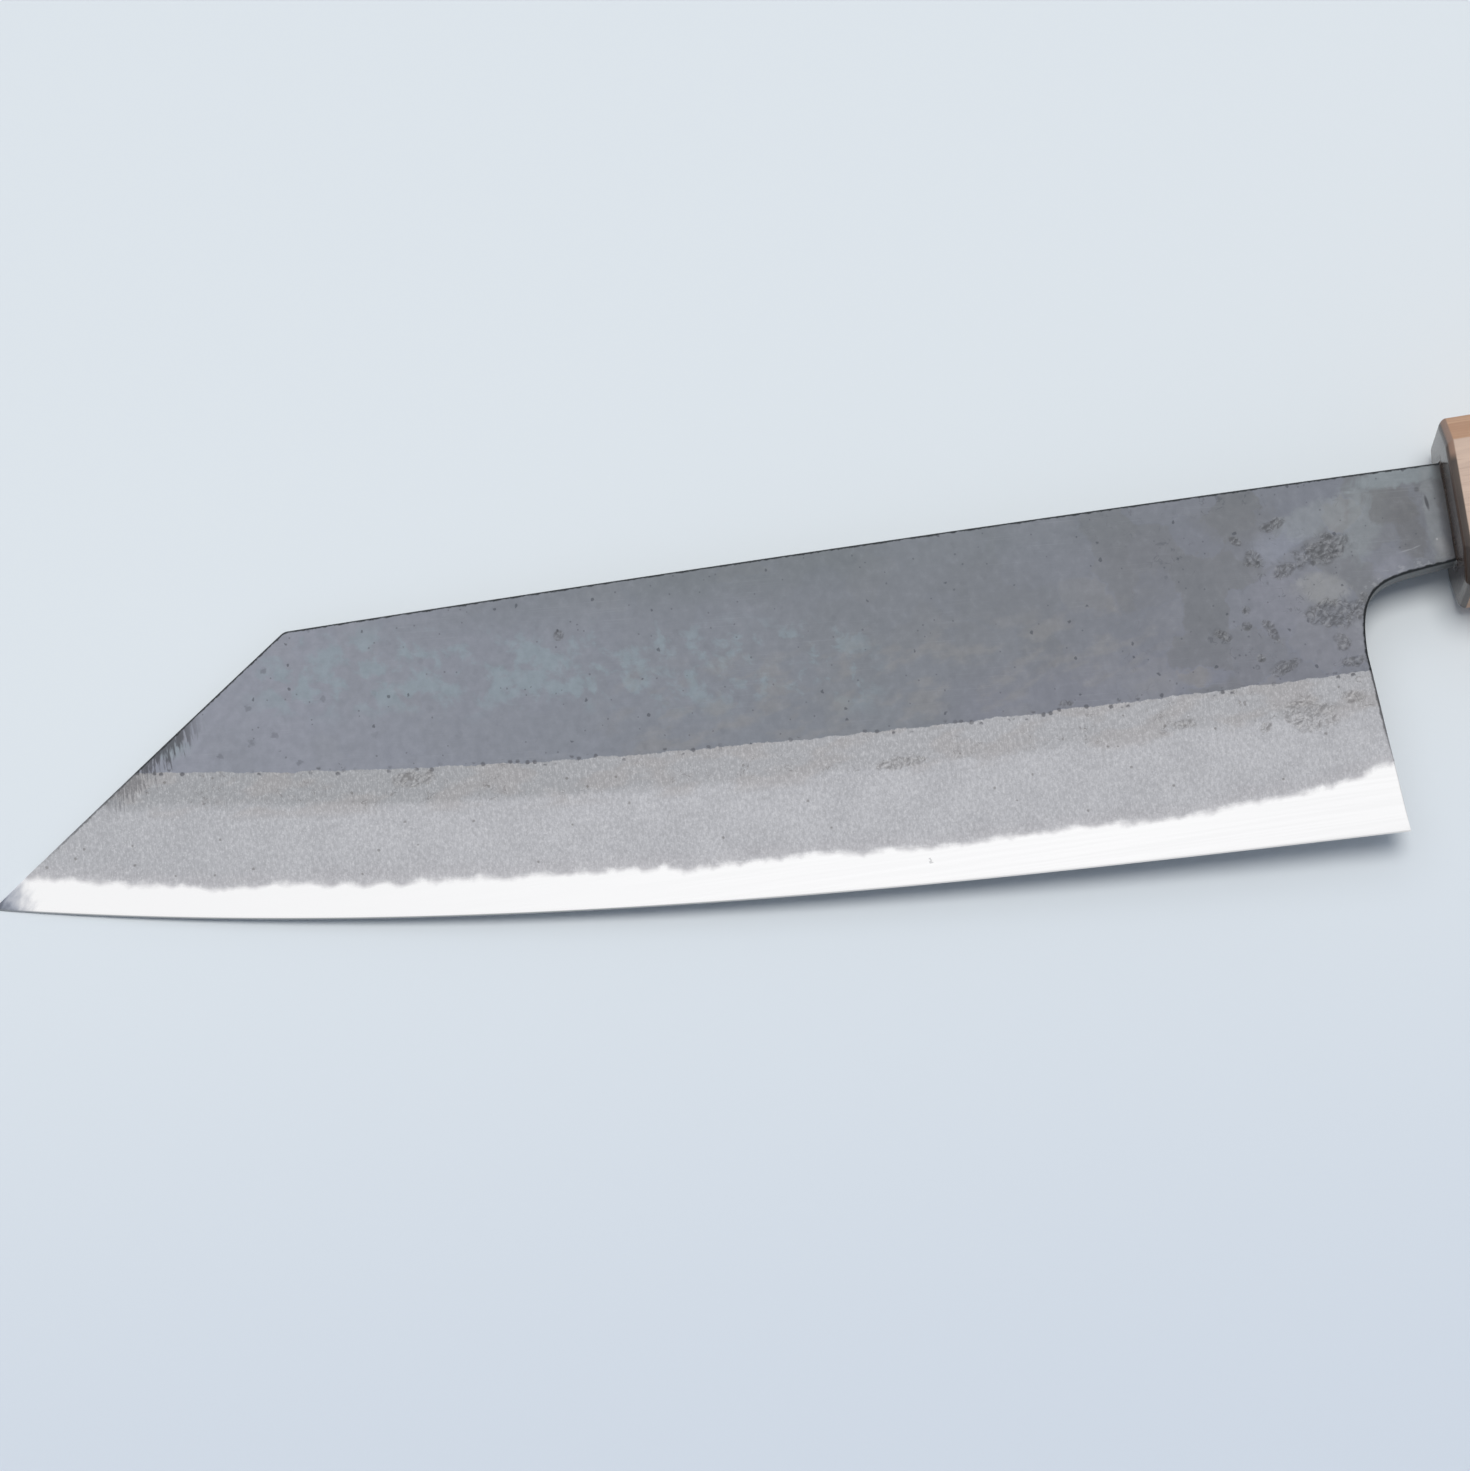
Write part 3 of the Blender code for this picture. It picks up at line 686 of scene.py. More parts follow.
class Bench:
    """Lays nodes in one tree. What feeds an input is another node's socket or a plain value.

    Patterns are drawn at the bench's point; flat ones in its X and Y alone.
    """

    def __init__(self, tree, flat=False):
        self.tree = tree
        self.dimensions = "2D" if flat else "3D"
        self.point = None

    def node(self, kind, feeds=None, **settings):
        made = self.tree.nodes.new(kind)
        made.location.x = NODE_SPACING * len(self.tree.nodes)
        for name, value in settings.items():
            setattr(made, name, value)
        for place, value in (feeds or {}).items():
            self.feed(made.inputs[place], value)
        return made

    def feed(self, socket, value):
        if isinstance(value, bpy.types.NodeSocket):
            self.tree.links.new(value, socket)
        else:
            socket.default_value = value

    def math(self, operation, *values, clamp=False):
        feeds = dict(enumerate(values))
        return self.node("ShaderNodeMath", feeds, operation=operation, use_clamp=clamp).outputs[0]

    def chain(self, operation, result, *others):
        for value in others:
            result = self.math(operation, result, value)
        return result

    def add(self, *values):
        return self.chain("ADD", *values)

    def less(self, *values):
        return self.chain("SUBTRACT", *values)

    def times(self, *values):
        return self.chain("MULTIPLY", *values)

    def most(self, *values):
        return self.chain("MAXIMUM", *values)

    def vector(self, operation, *values):
        made = self.node("ShaderNodeVectorMath", dict(enumerate(values)), operation=operation)
        return made.outputs["Value" if operation in ("LENGTH", "DOT_PRODUCT") else "Vector"]

    def parts(self, vector):
        return self.node("ShaderNodeSeparateXYZ", {0: vector}).outputs

    def joined(self, x=0.0, y=0.0, z=0.0):
        return self.node("ShaderNodeCombineXYZ", {0: x, 1: y, 2: z}).outputs[0]

    def fade(self, value, low, high, start=0.0, end=1.0, kind="SMOOTHSTEP"):
        """Runs from start to end while the value goes from low to high."""
        feeds = {"Value": value, "From Min": low, "From Max": high, "To Min": start, "To Max": end}
        return self.node("ShaderNodeMapRange", feeds, interpolation_type=kind).outputs["Result"]

    def window(self, value, low, high, soft):
        """1 between low and high, fading out over a width beyond them."""
        return self.times(self.fade(value, low - soft, low), self.fade(value, high, high + soft, 1.0, 0.0))

    def blend(self, share, first, second):
        return self.node("ShaderNodeMix", {0: share, 6: first, 7: second}, data_type="RGBA").outputs[2]

    def layered(self, colour, *layers):
        """Lays colours over one another; a layer is how much of it shows and its colour."""
        for share, over in layers:
            colour = self.blend(share, colour, over)
        return colour

    def ramp(self, value, *stops):
        """A colour that changes along a value; stops are places from 0 to 1 with their colours."""
        made = self.node("ShaderNodeValToRGB", {"Fac": value})
        band = made.color_ramp
        while len(band.elements) < len(stops):
            band.elements.new(1.0)
        for element, (place, colour) in zip(band.elements, stops):
            element.position = place
            element.color = colour
        return made.outputs["Color"]

    def stretched(self, stretch, turn=0.0):
        """The point's place in a pattern drawn out along the axes, after a turn about Z in degrees."""
        point = self.point
        if turn:
            feeds = {"Vector": point, "Rotation": (0, 0, math.radians(turn))}
            point = self.node("ShaderNodeMapping", feeds).outputs[0]
        feeds = {"Vector": point, "Scale": tuple(1 / share for share in stretch)}
        return self.node("ShaderNodeMapping", feeds).outputs[0]

    def noise(self, size=1.0, stretch=None, turn=0.0, detail=3.0, roughness=0.5, distortion=0.0):
        """A cloudy pattern from 0 to 1."""
        point = self.stretched(stretch, turn) if stretch else self.point
        feeds = {
            "Vector": point, "Scale": 1 / size, "Detail": detail, "Roughness": roughness,
            "Distortion": distortion,
        }
        return self.node("ShaderNodeTexNoise", feeds, noise_dimensions=self.dimensions).outputs["Fac"]

    def ripple(self, size=1.0, **shape):
        """The same pattern, about 0."""
        return self.add(self.noise(size, **shape), -0.5)

    def thin_lines(self, width, **shape):
        """1 on the lines where the cloudy pattern crosses its middle, fading out at that width."""
        return self.fade(self.math("ABSOLUTE", self.ripple(**shape)), 0.0, width, 1.0, 0.0)

    def cells(self, point, scale=1.0, smoothness=None):
        """A pattern of flat cells: a value of its own for each, and the distance from its middle."""
        feeds = {"Vector": point, "Scale": scale}
        if smoothness:
            feeds["Smoothness"] = smoothness
        feature = "SMOOTH_F1" if smoothness else "F1"
        made = self.node("ShaderNodeTexVoronoi", feeds, voronoi_dimensions="2D", feature=feature)
        value = self.node("ShaderNodeSeparateColor", {0: made.outputs["Color"]}).outputs[0]
        return value, made.outputs["Distance"]

    def effect(self, tree, **values):
        """What a shared effect gives at the bench's point, with its own values."""
        feeds = {socket_name(name): value for name, value in values.items()}
        return self.node("ShaderNodeGroup", {"Point": self.point} | feeds, node_tree=tree).outputs


class Effect(Bench):
    """A node group with named inputs, whose values tell their kinds, and named outputs."""

    def __init__(self, name, inputs, outputs, kind="ShaderNodeTree", output_kind="Float", flat=False):
        super().__init__(bpy.data.node_groups.new(name, kind), flat)
        for label, value in inputs.items():
            socket_type = "NodeSocket" + SOCKET_KINDS[type(value)]
            made = self.tree.interface.new_socket(label, in_out="INPUT", socket_type=socket_type)
            if value is not None:
                made.default_value = value
        for label in outputs:
            self.tree.interface.new_socket(label, in_out="OUTPUT", socket_type="NodeSocket" + output_kind)
        self.given = self.node("NodeGroupInput").outputs
        self.results = self.node("NodeGroupOutput").inputs
        self.point = self.given.get("Point")

    def closed(self, **values):
        """The finished tree, with these values at its outputs."""
        for name, value in values.items():
            self.feed(self.results[name], value)
        return self.tree


def tone(red, green, blue):
    """A colour as a screen shows it, from 0 to 255, in the linear values that Blender works with."""
    def linear(value):
        value /= 255
        return value / 12.92 if value <= 0.04045 else ((value + 0.055) / 1.055) ** 2.4
    return linear(red), linear(green), linear(blue), 1.0


# Effects: each is built once, and placed in the finishes with its own values

HERE = (0.0, 0.0, 0.0)          # what a point's socket holds until something feeds it


def speck_group():
    """Small scattered marks: a few of the pattern's cells hold one."""
    inputs = {"Point": HERE, "Density": 0.5, "Share": 0.3, "Radius": 0.2}
    specks = Effect("scattered_specks", inputs, ["Mask"], flat=True)
    radius = specks.given["Radius"]
    value, distance = specks.cells(specks.point, specks.given["Density"])
    distance = specks.add(distance, specks.times(specks.ripple(0.50, detail=1.0), 0.22))
    spot = specks.fade(distance, specks.times(radius, 0.45), radius, 1.0, 0.0)
    chosen = specks.math("LESS_THAN", value, specks.given["Share"])
    return specks.closed(Mask=specks.times(spot, chosen))


def stain_group():
    """A stain with a ragged rim: an ellipse on the blade's left flat."""
    stain = Effect("stain", {
        "Point": HERE, "Middle": HERE, "Half Size": HERE, "Turn": 0.0, "Softness": 0.3, "Unevenness": 0.0,
    }, ["Mask"])
    given = stain.given
    offset = stain.vector("SUBTRACT", stain.point, given["Middle"])
    turned = stain.node("ShaderNodeVectorRotate", {
        "Vector": offset, "Angle": stain.times(given["Turn"], -1.0),
    }, rotation_type="Z_AXIS").outputs[0]
    reach = stain.vector("LENGTH", stain.vector("DIVIDE", turned, given["Half Size"]))
    reach = stain.add(reach, given["Unevenness"])
    softness = given["Softness"]
    spot = stain.fade(reach, stain.less(1.0, softness), stain.add(softness, 1.0), 1.0, 0.0)
    on_left = stain.math("GREATER_THAN", stain.parts(stain.point)["Z"], 0.0)
    return stain.closed(Mask=stain.times(spot, on_left))


def core_line_group():
    """1 on bare steel and 0 on iron, with the feathered haze between them; the same on both pieces."""
    line = Effect("core_line", {"Point": HERE, "Over Core": 0.0}, ["Steel"], flat=True)
    wide = line.times(line.ripple(2.6, detail=2.0), 1.4)
    fine = line.times(line.ripple(0.30, detail=2.0), 0.22)
    height = line.add(line.given["Over Core"], wide, fine)
    near = line.fade(height, -0.70, 0.45, 0.93, 0.0)
    glow = line.fade(height, 0.0, 1.7, 0.07, 0.0)
    return line.closed(Steel=line.add(near, glow))


def scratch_group():
    """Fine rubbed lines that run one way, some stronger than others."""
    lines = Effect("rubbed_lines", {"Point": HERE, "Share": 0.5}, ["Mask"], flat=True)
    strong = lines.fade(lines.noise(stretch=(14.0, 0.16, 1.0), turn=4.0, detail=2.0), 0.62, 0.75)
    patch = lines.fade(lines.noise(9.0, detail=1.0), 0.35, 0.65)
    return lines.closed(Mask=lines.times(strong, patch, lines.given["Share"]))


def flake_group():
    """Smooth flakes of scale that differ a little in colour: a value for each, blurred where they meet."""
    flakes = Effect("scale_flakes", {"Point": HERE, "Size": 5.0}, ["Value"], flat=True)
    push = flakes.node("ShaderNodeTexNoise", {
        "Vector": flakes.point, "Scale": 0.45, "Detail": 4.0,
    }, noise_dimensions="2D").outputs["Color"]
    push = flakes.node("ShaderNodeVectorMath", {0: push, "Scale": 3.2}, operation="SCALE").outputs[0]
    place = flakes.vector("ADD", flakes.point, push)
    scale = flakes.math("DIVIDE", 1.0, flakes.given["Size"])
    return flakes.closed(Value=flakes.cells(place, scale, smoothness=0.22)[0])


def curl_group():
    """Short curled lines, broken into pieces and gathered in patches."""
    curls = Effect("curled_marks", {"Point": HERE, "Size": 1.0}, ["Mask"], flat=True)
    curls.point = curls.vector("DIVIDE", curls.point, curls.given["Size"])
    line = curls.thin_lines(0.055, detail=1.0, distortion=0.7)
    broken = curls.fade(curls.noise(1.6, detail=2.0), 0.52, 0.62)
    patch = curls.fade(curls.noise(7.0, detail=2.0), 0.46, 0.60)
    return curls.closed(Mask=curls.times(line, broken, patch))


HEART = (31.0, 44.0)            # how far the middle of the tree lies from the handle's axis


def wood_group():
    """Growth rings, fibres and pores of wood whose grain runs along X."""
    inputs = {"Point": HERE, "Ring Width": 2.4, "Waviness": 1.0, "Pore Share": 0.3}
    wood = Effect("wood_grain", inputs, ["Rings", "Fibre", "Pores", "Height"])
    drift = wood.ripple(stretch=(34.0, 7.0, 7.0), detail=2.0)
    parts = wood.parts(wood.point)
    across, deep = wood.add(parts["Y"], HEART[0]), wood.add(parts["Z"], HEART[1])
    radius = wood.math("SQRT", wood.add(wood.times(across, across), wood.times(deep, deep)))
    radius = wood.add(radius, wood.times(drift, wood.given["Waviness"], 9.0))
    place = wood.math("FRACT", wood.math("DIVIDE", radius, wood.given["Ring Width"]))
    ring = wood.times(wood.fade(place, 0.0, 0.75), wood.fade(place, 0.9, 1.0, 1.0, 0.0))
    fibre = wood.noise(stretch=(13.0, 0.32, 0.32), detail=4.0, roughness=0.6)
    pore = wood.noise(stretch=(5.0, 0.14, 0.14), detail=1.0)
    pores = wood.times(wood.fade(pore, 0.64, 0.72), wood.given["Pore Share"])
    height = wood.less(wood.times(fibre, 0.5), pores)
    return wood.closed(Rings=ring, Fibre=fibre, Pores=pores, Height=height)


SPECKS = speck_group()
STAIN = stain_group()
CORE_LINE = core_line_group()
SCRATCHES = scratch_group()
FLAKES = flake_group()
CURLS = curl_group()
WOOD = wood_group()


# Finishes

RIGHT_PATTERN_SHIFT = 700.0     # so that the two flats don't repeat each other
BUMP_DEPTH = 0.00004


class Finish(Bench):
    """A material with one Principled BSDF, and the knife's own coordinates in millimetres.

    A flat finish has its patterns in the blade's plane, with another part of them on the right side.
    """

    def __init__(self, name, flat=False):
        self.material = bpy.data.materials.new(name)
        self.material.use_nodes = True
        super().__init__(self.material.node_tree, flat)
        self.shader = self.tree.nodes["Principled BSDF"]
        self.point = self.node("ShaderNodeMapping", {
            "Vector": self.node("ShaderNodeTexCoord").outputs["Object"], "Location": ORIGIN,
            "Rotation": (0.0, -PITCH, 0.0), "Scale": (1 / METRE,) * 3,
        }, vector_type="TEXTURE").outputs[0]
        self.along, self.up, self.side = self.parts(self.point)
        if flat:
            shift = self.times(self.math("LESS_THAN", self.side, 0.0), RIGHT_PATTERN_SHIFT)
            self.point = self.joined(self.add(self.along, shift), self.up, self.side)

    def mark(self, name):
        """A number that the blade's own mesh holds at each point."""
        return self.node("ShaderNodeAttribute", attribute_name=name).outputs["Fac"]

    def mask(self, tree, **values):
        return self.effect(tree, **values)[0]

    def done(self, height, depth=BUMP_DEPTH, strength=0.5, **values):
        """The material, with these values at the shader and the height as fine bumps."""
        for name, value in values.items():
            self.feed(self.shader.inputs[socket_name(name)], value)
        feeds = {"Height": height, "Distance": depth, "Strength": strength}
        self.feed(self.shader.inputs["Normal"], self.node("ShaderNodeBump", feeds).outputs["Normal"])
        return self.material


# Stains on the left flat: x, y, half length, half height, turn, softness, strength, colour
LEFT_STAINS = (
    (-22.3, -0.6, 3.4, 2.4, 20, 0.22, 0.55, tone(139, 143, 154)),
    (-23.0, -8.6, 3.6, 4.2, 0, 0.40, 0.40, tone(133, 134, 144)),
    (-16.8, 1.6, 5.0, 2.2, 12, 0.30, 0.55, tone(137, 142, 146)),
    (-11.0, 0.6, 2.4, 5.2, -25, 0.35, 0.50, tone(138, 144, 147)),
    (-17.4, -7.7, 3.2, 2.1, -6, 0.28, 0.65, tone(146, 147, 148)),
    (-26.6, 2.6, 5.2, 2.7, -10, 0.40, 0.55, tone(116, 118, 122)),
    (-7.0, 2.0, 3.2, 2.6, -15, 0.20, 0.75, tone(111, 112, 114)),
    (-5.2, -2.0, 2.0, 3.2, 10, 0.25, 0.75, tone(109, 110, 113)),
    (-5.6, 5.4, 7.0, 1.1, 0, 0.30, 0.75, tone(135, 143, 147)),
    (-2.2, -0.2, 1.0, 5.6, 0, 0.35, 0.65, tone(137, 141, 144)),
    (-1.5, -4.6, 0.9, 1.5, 10, 0.35, 0.60, tone(144, 145, 147)),
    (-8.6, -6.2, 2.6, 1.5, 20, 0.35, 0.55, tone(134, 136, 146)),
    (-166.0, -6.6, 2.2, 1.2, 0, 0.40, 0.60, tone(138, 149, 155)),
    (-2.6, 1.5, 0.20, 0.90, 6, 0.45, 0.80, tone(70, 71, 75)),
    (-3.6, 3.4, 0.30, 0.30, 0, 0.50, 0.60, tone(88, 88, 90)),
    (-2.1, -3.4, 0.13, 0.15, 0, 0.60, 0.70, tone(178, 179, 182)),
    (-6.2, -4.30, 0.75, 0.09, 8, 0.70, 0.42, tone(164, 165, 170)),
    (-4.9, -4.05, 0.55, 0.08, 16, 0.70, 0.38, tone(164, 165, 170)),
)
SMALL_STAIN = 1.5               # half length under which a stain's rim is even
STAIN_DEPTH = 1000.0            # a stain goes through the whole jacket


def stain_layers(iron):
    """The stains of the left flat, each with its share and colour."""
    ragged = iron.times(iron.ripple(2.6, detail=5.0, roughness=0.62, distortion=0.6), 1.5)
    for x, y, half_long, half_high, turn, softness, strength, colour in LEFT_STAINS:
        large = max(half_long, half_high) > SMALL_STAIN
        mask = iron.mask(
            STAIN, middle=(x, y, 0.0), half_size=(half_long, half_high, STAIN_DEPTH),
            turn=math.radians(turn), softness=softness, unevenness=ragged if large else 0.0)
        yield iron.times(mask, strength), colour


def patina_mask(iron):
    """Bluish patina, in streaks along a slanting band in the front half of the flat."""
    slant = iron.add(1.0, iron.times(iron.add(iron.along, 146.0), -0.135))
    band = iron.window(iron.less(iron.up, slant), -3.0, 2.5, 5.0)
    band = iron.times(band, iron.window(iron.along, -150.0, -80.0, 8.0))
    streak = iron.noise(
        2.4, stretch=(1.3, 1.0, 1.0), turn=35.0, detail=5.0, roughness=0.60, distortion=0.25)
    clump = iron.noise(8.0, stretch=(1.8, 1.0, 1.0), detail=1.0)
    return iron.times(iron.fade(iron.add(streak, iron.times(clump, 0.7)), 0.84, 1.02), band)


def scale_colour(iron, rim, mottle, dark_marks):
    """Forge scale: bluish at the tip and lighter there by a painted reflection, greyer at the heel, with
    patina, flakes, stains, specks and painted shade by the handle.
    """
    along, up = iron.along, iron.up
    # Lighter and bluer towards the tip: the scale's own tone, with a painted reflection that brightens
    # towards the tip.
    scale = iron.ramp(
        iron.fade(along, TIP_X, 0.0, kind="LINEAR"),
        (0.0, tone(142, 145, 156)), (0.20, tone(139, 142, 152)), (0.40, tone(129, 133, 142)),
        (0.60, tone(120, 124, 130)), (0.80, tone(117, 120, 126)), (0.93, tone(119, 122, 127)),
        (1.0, tone(115, 118, 121)))
    flakes = iron.ramp(
        iron.mask(FLAKES, size=5.5),
        (0.0, tone(108, 110, 114)), (0.30, tone(116, 117, 121)), (0.55, tone(121, 124, 135)),
        (0.80, tone(130, 131, 138)), (1.0, tone(132, 130, 129)))
    near_spine = iron.times(iron.fade(up, 0.0, 6.0), iron.fade(along, -150.0, -100.0))
    near_bevel = iron.times(iron.fade(up, -8.0, -17.0), iron.window(along, -60.0, -15.0, 12.0))
    clouds = iron.noise(11.0, detail=4.0)
    warm = iron.noise(2.6, stretch=(2.2, 1.0, 1.0), turn=-12.0, detail=6.0, roughness=0.58)
    warm_zone = iron.times(iron.window(along, -104.0, -44.0, 10.0), iron.window(up, -15.0, -8.0, 5.0))
    chips = iron.fade(iron.noise(0.8, stretch=(1.4, 0.7, 1.0), detail=4.0), 0.54, 0.62)
    choil = iron.times(iron.fade(along, -16.0, -11.0), iron.fade(up, 0.0, -3.0))
    return iron.layered(
        scale,
        (iron.times(near_spine, 0.6), tone(112, 118, 122)),
        (iron.times(near_bevel, 0.5), tone(128, 129, 141)),
        (iron.fade(clouds, 0.35, 0.70, 0.0, 0.35), tone(132, 136, 144)),
        (iron.fade(along, -62.0, -30.0, 0.10, 0.55), flakes),
        (iron.times(patina_mask(iron), 0.58), tone(136, 150, 157)),
        (iron.times(iron.fade(warm, 0.46, 0.66), warm_zone, 0.42), tone(138, 137, 137)),
        *stain_layers(iron),
        (iron.fade(mottle, 0.30, 0.75, 0.0, 0.12), tone(92, 96, 103)),
        (iron.fade(mottle, 0.45, 0.15, 0.0, 0.14), tone(152, 156, 164)),
        (iron.mask(SCRATCHES, share=0.12), tone(162, 166, 172)),
        (iron.times(chips, iron.window(rim, 0.5, 1.3, 0.35), choil, 0.40), tone(156, 158, 162)),
        (dark_marks, tone(72, 75, 82)),
        # Painted shade that the handle casts on the neck, over its last 1.8 mm.
        (iron.fade(along, -1.8, -0.3, 0.0, 0.65), tone(70, 69, 69)))


def bevel_colour(iron, over_bevel, over_core, cells, grit):
    """Ground iron: a fine grain whose lightest cells are painted sparkle, gritty under the scale, and dull
    just over the core.
    """
    along = iron.along
    haze = iron.noise(6.0, detail=3.0)
    strip = iron.fade(iron.add(over_bevel, iron.times(haze, 1.8)), -4.4, -3.0)
    strip_tone = iron.blend(iron.fade(along, -150.0, -60.0), tone(156, 158, 162), tone(165, 166, 170))
    brown = iron.fade(iron.noise(4.0, stretch=(2.5, 1.0, 1.0), detail=4.0), 0.47, 0.62)
    blotch = iron.noise(0.55, stretch=(0.8, 1.2, 1.0), detail=3.0, roughness=0.65)
    upright = iron.noise(stretch=(0.13, 1.4, 1.0), detail=2.0)
    return iron.layered(
        iron.blend(iron.fade(haze, 0.3, 0.7), tone(181, 182, 187), tone(188, 189, 194)),
        (iron.fade(along, -178.0, -120.0, 0.5, 0.0), tone(166, 168, 173)),
        (iron.times(strip, iron.fade(along, -140.0, -60.0, 0.90, 0.60)), strip_tone),
        (iron.fade(iron.add(over_core, iron.times(haze, 2.5)), 4.0, 1.6, 0.0, 0.5), tone(176, 175, 180)),
        (iron.times(brown, iron.window(over_bevel, -5.0, 0.0, 1.5), 0.38), tone(167, 162, 161)),
        (iron.fade(blotch, 0.55, 0.35, 0.0, 0.24), tone(150, 150, 153)),
        (iron.fade(blotch, 0.50, 0.72, 0.0, 0.22), tone(222, 222, 225)),
        # Grain cells of the grind, darker and lighter; the lightest are painted sparkle.
        (iron.fade(cells, 0.0, 0.45, 0.17, 0.0), tone(146, 147, 150)),
        (iron.fade(cells, 0.80, 1.0, 0.0, 0.19), tone(226, 227, 230)),
        (iron.fade(upright, 0.54, 0.75, 0.0, 0.22), tone(218, 219, 222)),
        (iron.times(grit, 0.55), tone(122, 119, 118)),
        (iron.times(iron.mask(SPECKS, density=0.8, share=0.03, radius=0.18), 0.55), tone(112, 110, 108)))


def dark_specks(iron):
    """Crisp, fine and soft specks of the scale, and its curled marks near the heel."""
    crisp = iron.mask(SPECKS, density=0.40, share=0.11, radius=0.10)
    fine = iron.mask(SPECKS, density=1.3, share=0.035, radius=0.20)
    soft = iron.mask(SPECKS, density=0.30, share=0.30, radius=0.16)
    soft = iron.times(soft, iron.fade(iron.along, -135.0, -150.0, 0.25, 1.0))
    curls = iron.times(
        iron.mask(CURLS, size=1.15), iron.fade(iron.along, -52.0, -30.0, 0.12, 1.0),
        iron.fade(iron.along, -17.0, -11.0, 1.0, 0.15))
    return iron.most(
        iron.times(crisp, 0.65), iron.times(fine, 0.45), iron.times(soft, 0.32), iron.times(curls, 0.42))


def iron_finish():
    """Forge scale on the flats, a hazy ground bevel below them, and eased corners darkened partly by
    painted shade.
    """
    iron = Finish("cladding_iron", flat=True)
    rim, over_bevel, over_core, scar, fold = (
        iron.mark(name) for name in ("rim", "over_bevel", "over_core", "scar", "fold"))
    ragged = iron.ripple(0.9, detail=4.0, roughness=0.65)
    over = iron.add(over_bevel, iron.times(ragged, 0.55), iron.times(iron.ripple(4.5, detail=3.0), 0.8))
    ground = iron.fade(over, -0.07, 0.07, 1.0, 0.0)

    def either(on_scale, on_bevel):
        """A number or a colour that differs on the scale and on the ground bevel."""
        if isinstance(on_scale, float):
            return iron.fade(ground, 0.0, 1.0, on_scale, on_bevel)
        return iron.blend(ground, on_scale, on_bevel)

    mottle = iron.noise(1.3, detail=6.0, roughness=0.65)
    dark_marks = dark_specks(iron)
    grit = iron.times(iron.mask(CURLS, size=0.75), iron.window(over_bevel, -4.2, 0.0, 1.2))
    cells = iron.cells(iron.stretched((0.13, 0.18, 0.2)))[0]
    pits = iron.times(
        iron.mask(SPECKS, density=0.9, share=0.50, radius=0.34), iron.window(over, -0.35, 0.25, 0.35),
        iron.fade(iron.noise(stretch=(6.0, 30.0, 30.0)), 0.42, 0.56))
    veins = iron.times(iron.thin_lines(0.07, detail=2.0, distortion=0.8), iron.fade(scar, 0.1, 0.6), 0.75)
    dirt_and_shade = iron.most(fold, veins)
    streaks = iron.noise(stretch=(0.45, 3.2, 1.0), detail=4.0, roughness=0.6)
    smudge = iron.fade(iron.add(rim, iron.times(iron.add(streaks, -0.5), 8.0)), 0.7, 2.3, 1.0, 0.0)
    smudge = iron.times(smudge, iron.window(iron.along, -172.5, -165.0, 4.0))
    steel = iron.mask(CORE_LINE, over_core=over_core)
    corner = iron.fade(iron.add(rim, iron.times(ragged, 0.45)), 0.22, 0.42, 1.0, 0.0)

    scale = scale_colour(iron, rim, mottle, dark_marks)
    bevel = bevel_colour(iron, over_bevel, over_core, cells, grit)
    colour = iron.layered(
        either(scale, bevel),
        (iron.times(pits, 0.7), tone(84, 85, 91)),
        (iron.times(scar, either(0.28, 0.20)), either(tone(114, 114, 115), tone(158, 155, 154))),
        # Wrinkle tops lighter, hollows and veins darker: rubbed wear and dirt, with painted highlight and
        # shade.
        (iron.math("MULTIPLY", fold, -0.28, clamp=True), either(tone(158, 159, 162), tone(206, 205, 204))),
        (iron.times(dirt_and_shade, either(0.62, 0.50)), either(tone(66, 67, 69), tone(106, 104, 104))),
        (iron.times(smudge, either(0.85, 0.45)), tone(76, 77, 82)),
        (steel, iron.blend(iron.fade(iron.along, TIP_X, -40.0), tone(235, 235, 236), tone(247, 247, 248))),
        # Walls and eased corners darker than the flats: their dark scale, and painted shade that is deepest
        # on the corners.
        (iron.times(corner, iron.fade(over_core, 0.6, 7.0), either(1.0, 0.6)),
         iron.blend(iron.fade(rim, 0.0, 0.05), tone(92, 95, 97), tone(46, 49, 52))))
    rough = either(iron.fade(mottle, 0.2, 0.8, 0.38, 0.50), iron.fade(cells, 0.0, 1.0, 0.48, 0.42))
    height = iron.add(
        iron.times(iron.less(1.0, ground), mottle, 0.8), iron.times(ground, cells, 0.22),
        iron.times(ground, streaks, 0.3), iron.times(dirt_and_shade, -0.6), iron.times(dark_marks, -0.8),
        iron.times(pits, -1.0), iron.times(grit, -0.7))
    return iron.done(
        height, strength=0.6, base_color=colour, roughness=iron.less(rough, iron.times(steel, 0.22)),
        metallic=either(0.60, 1.0))


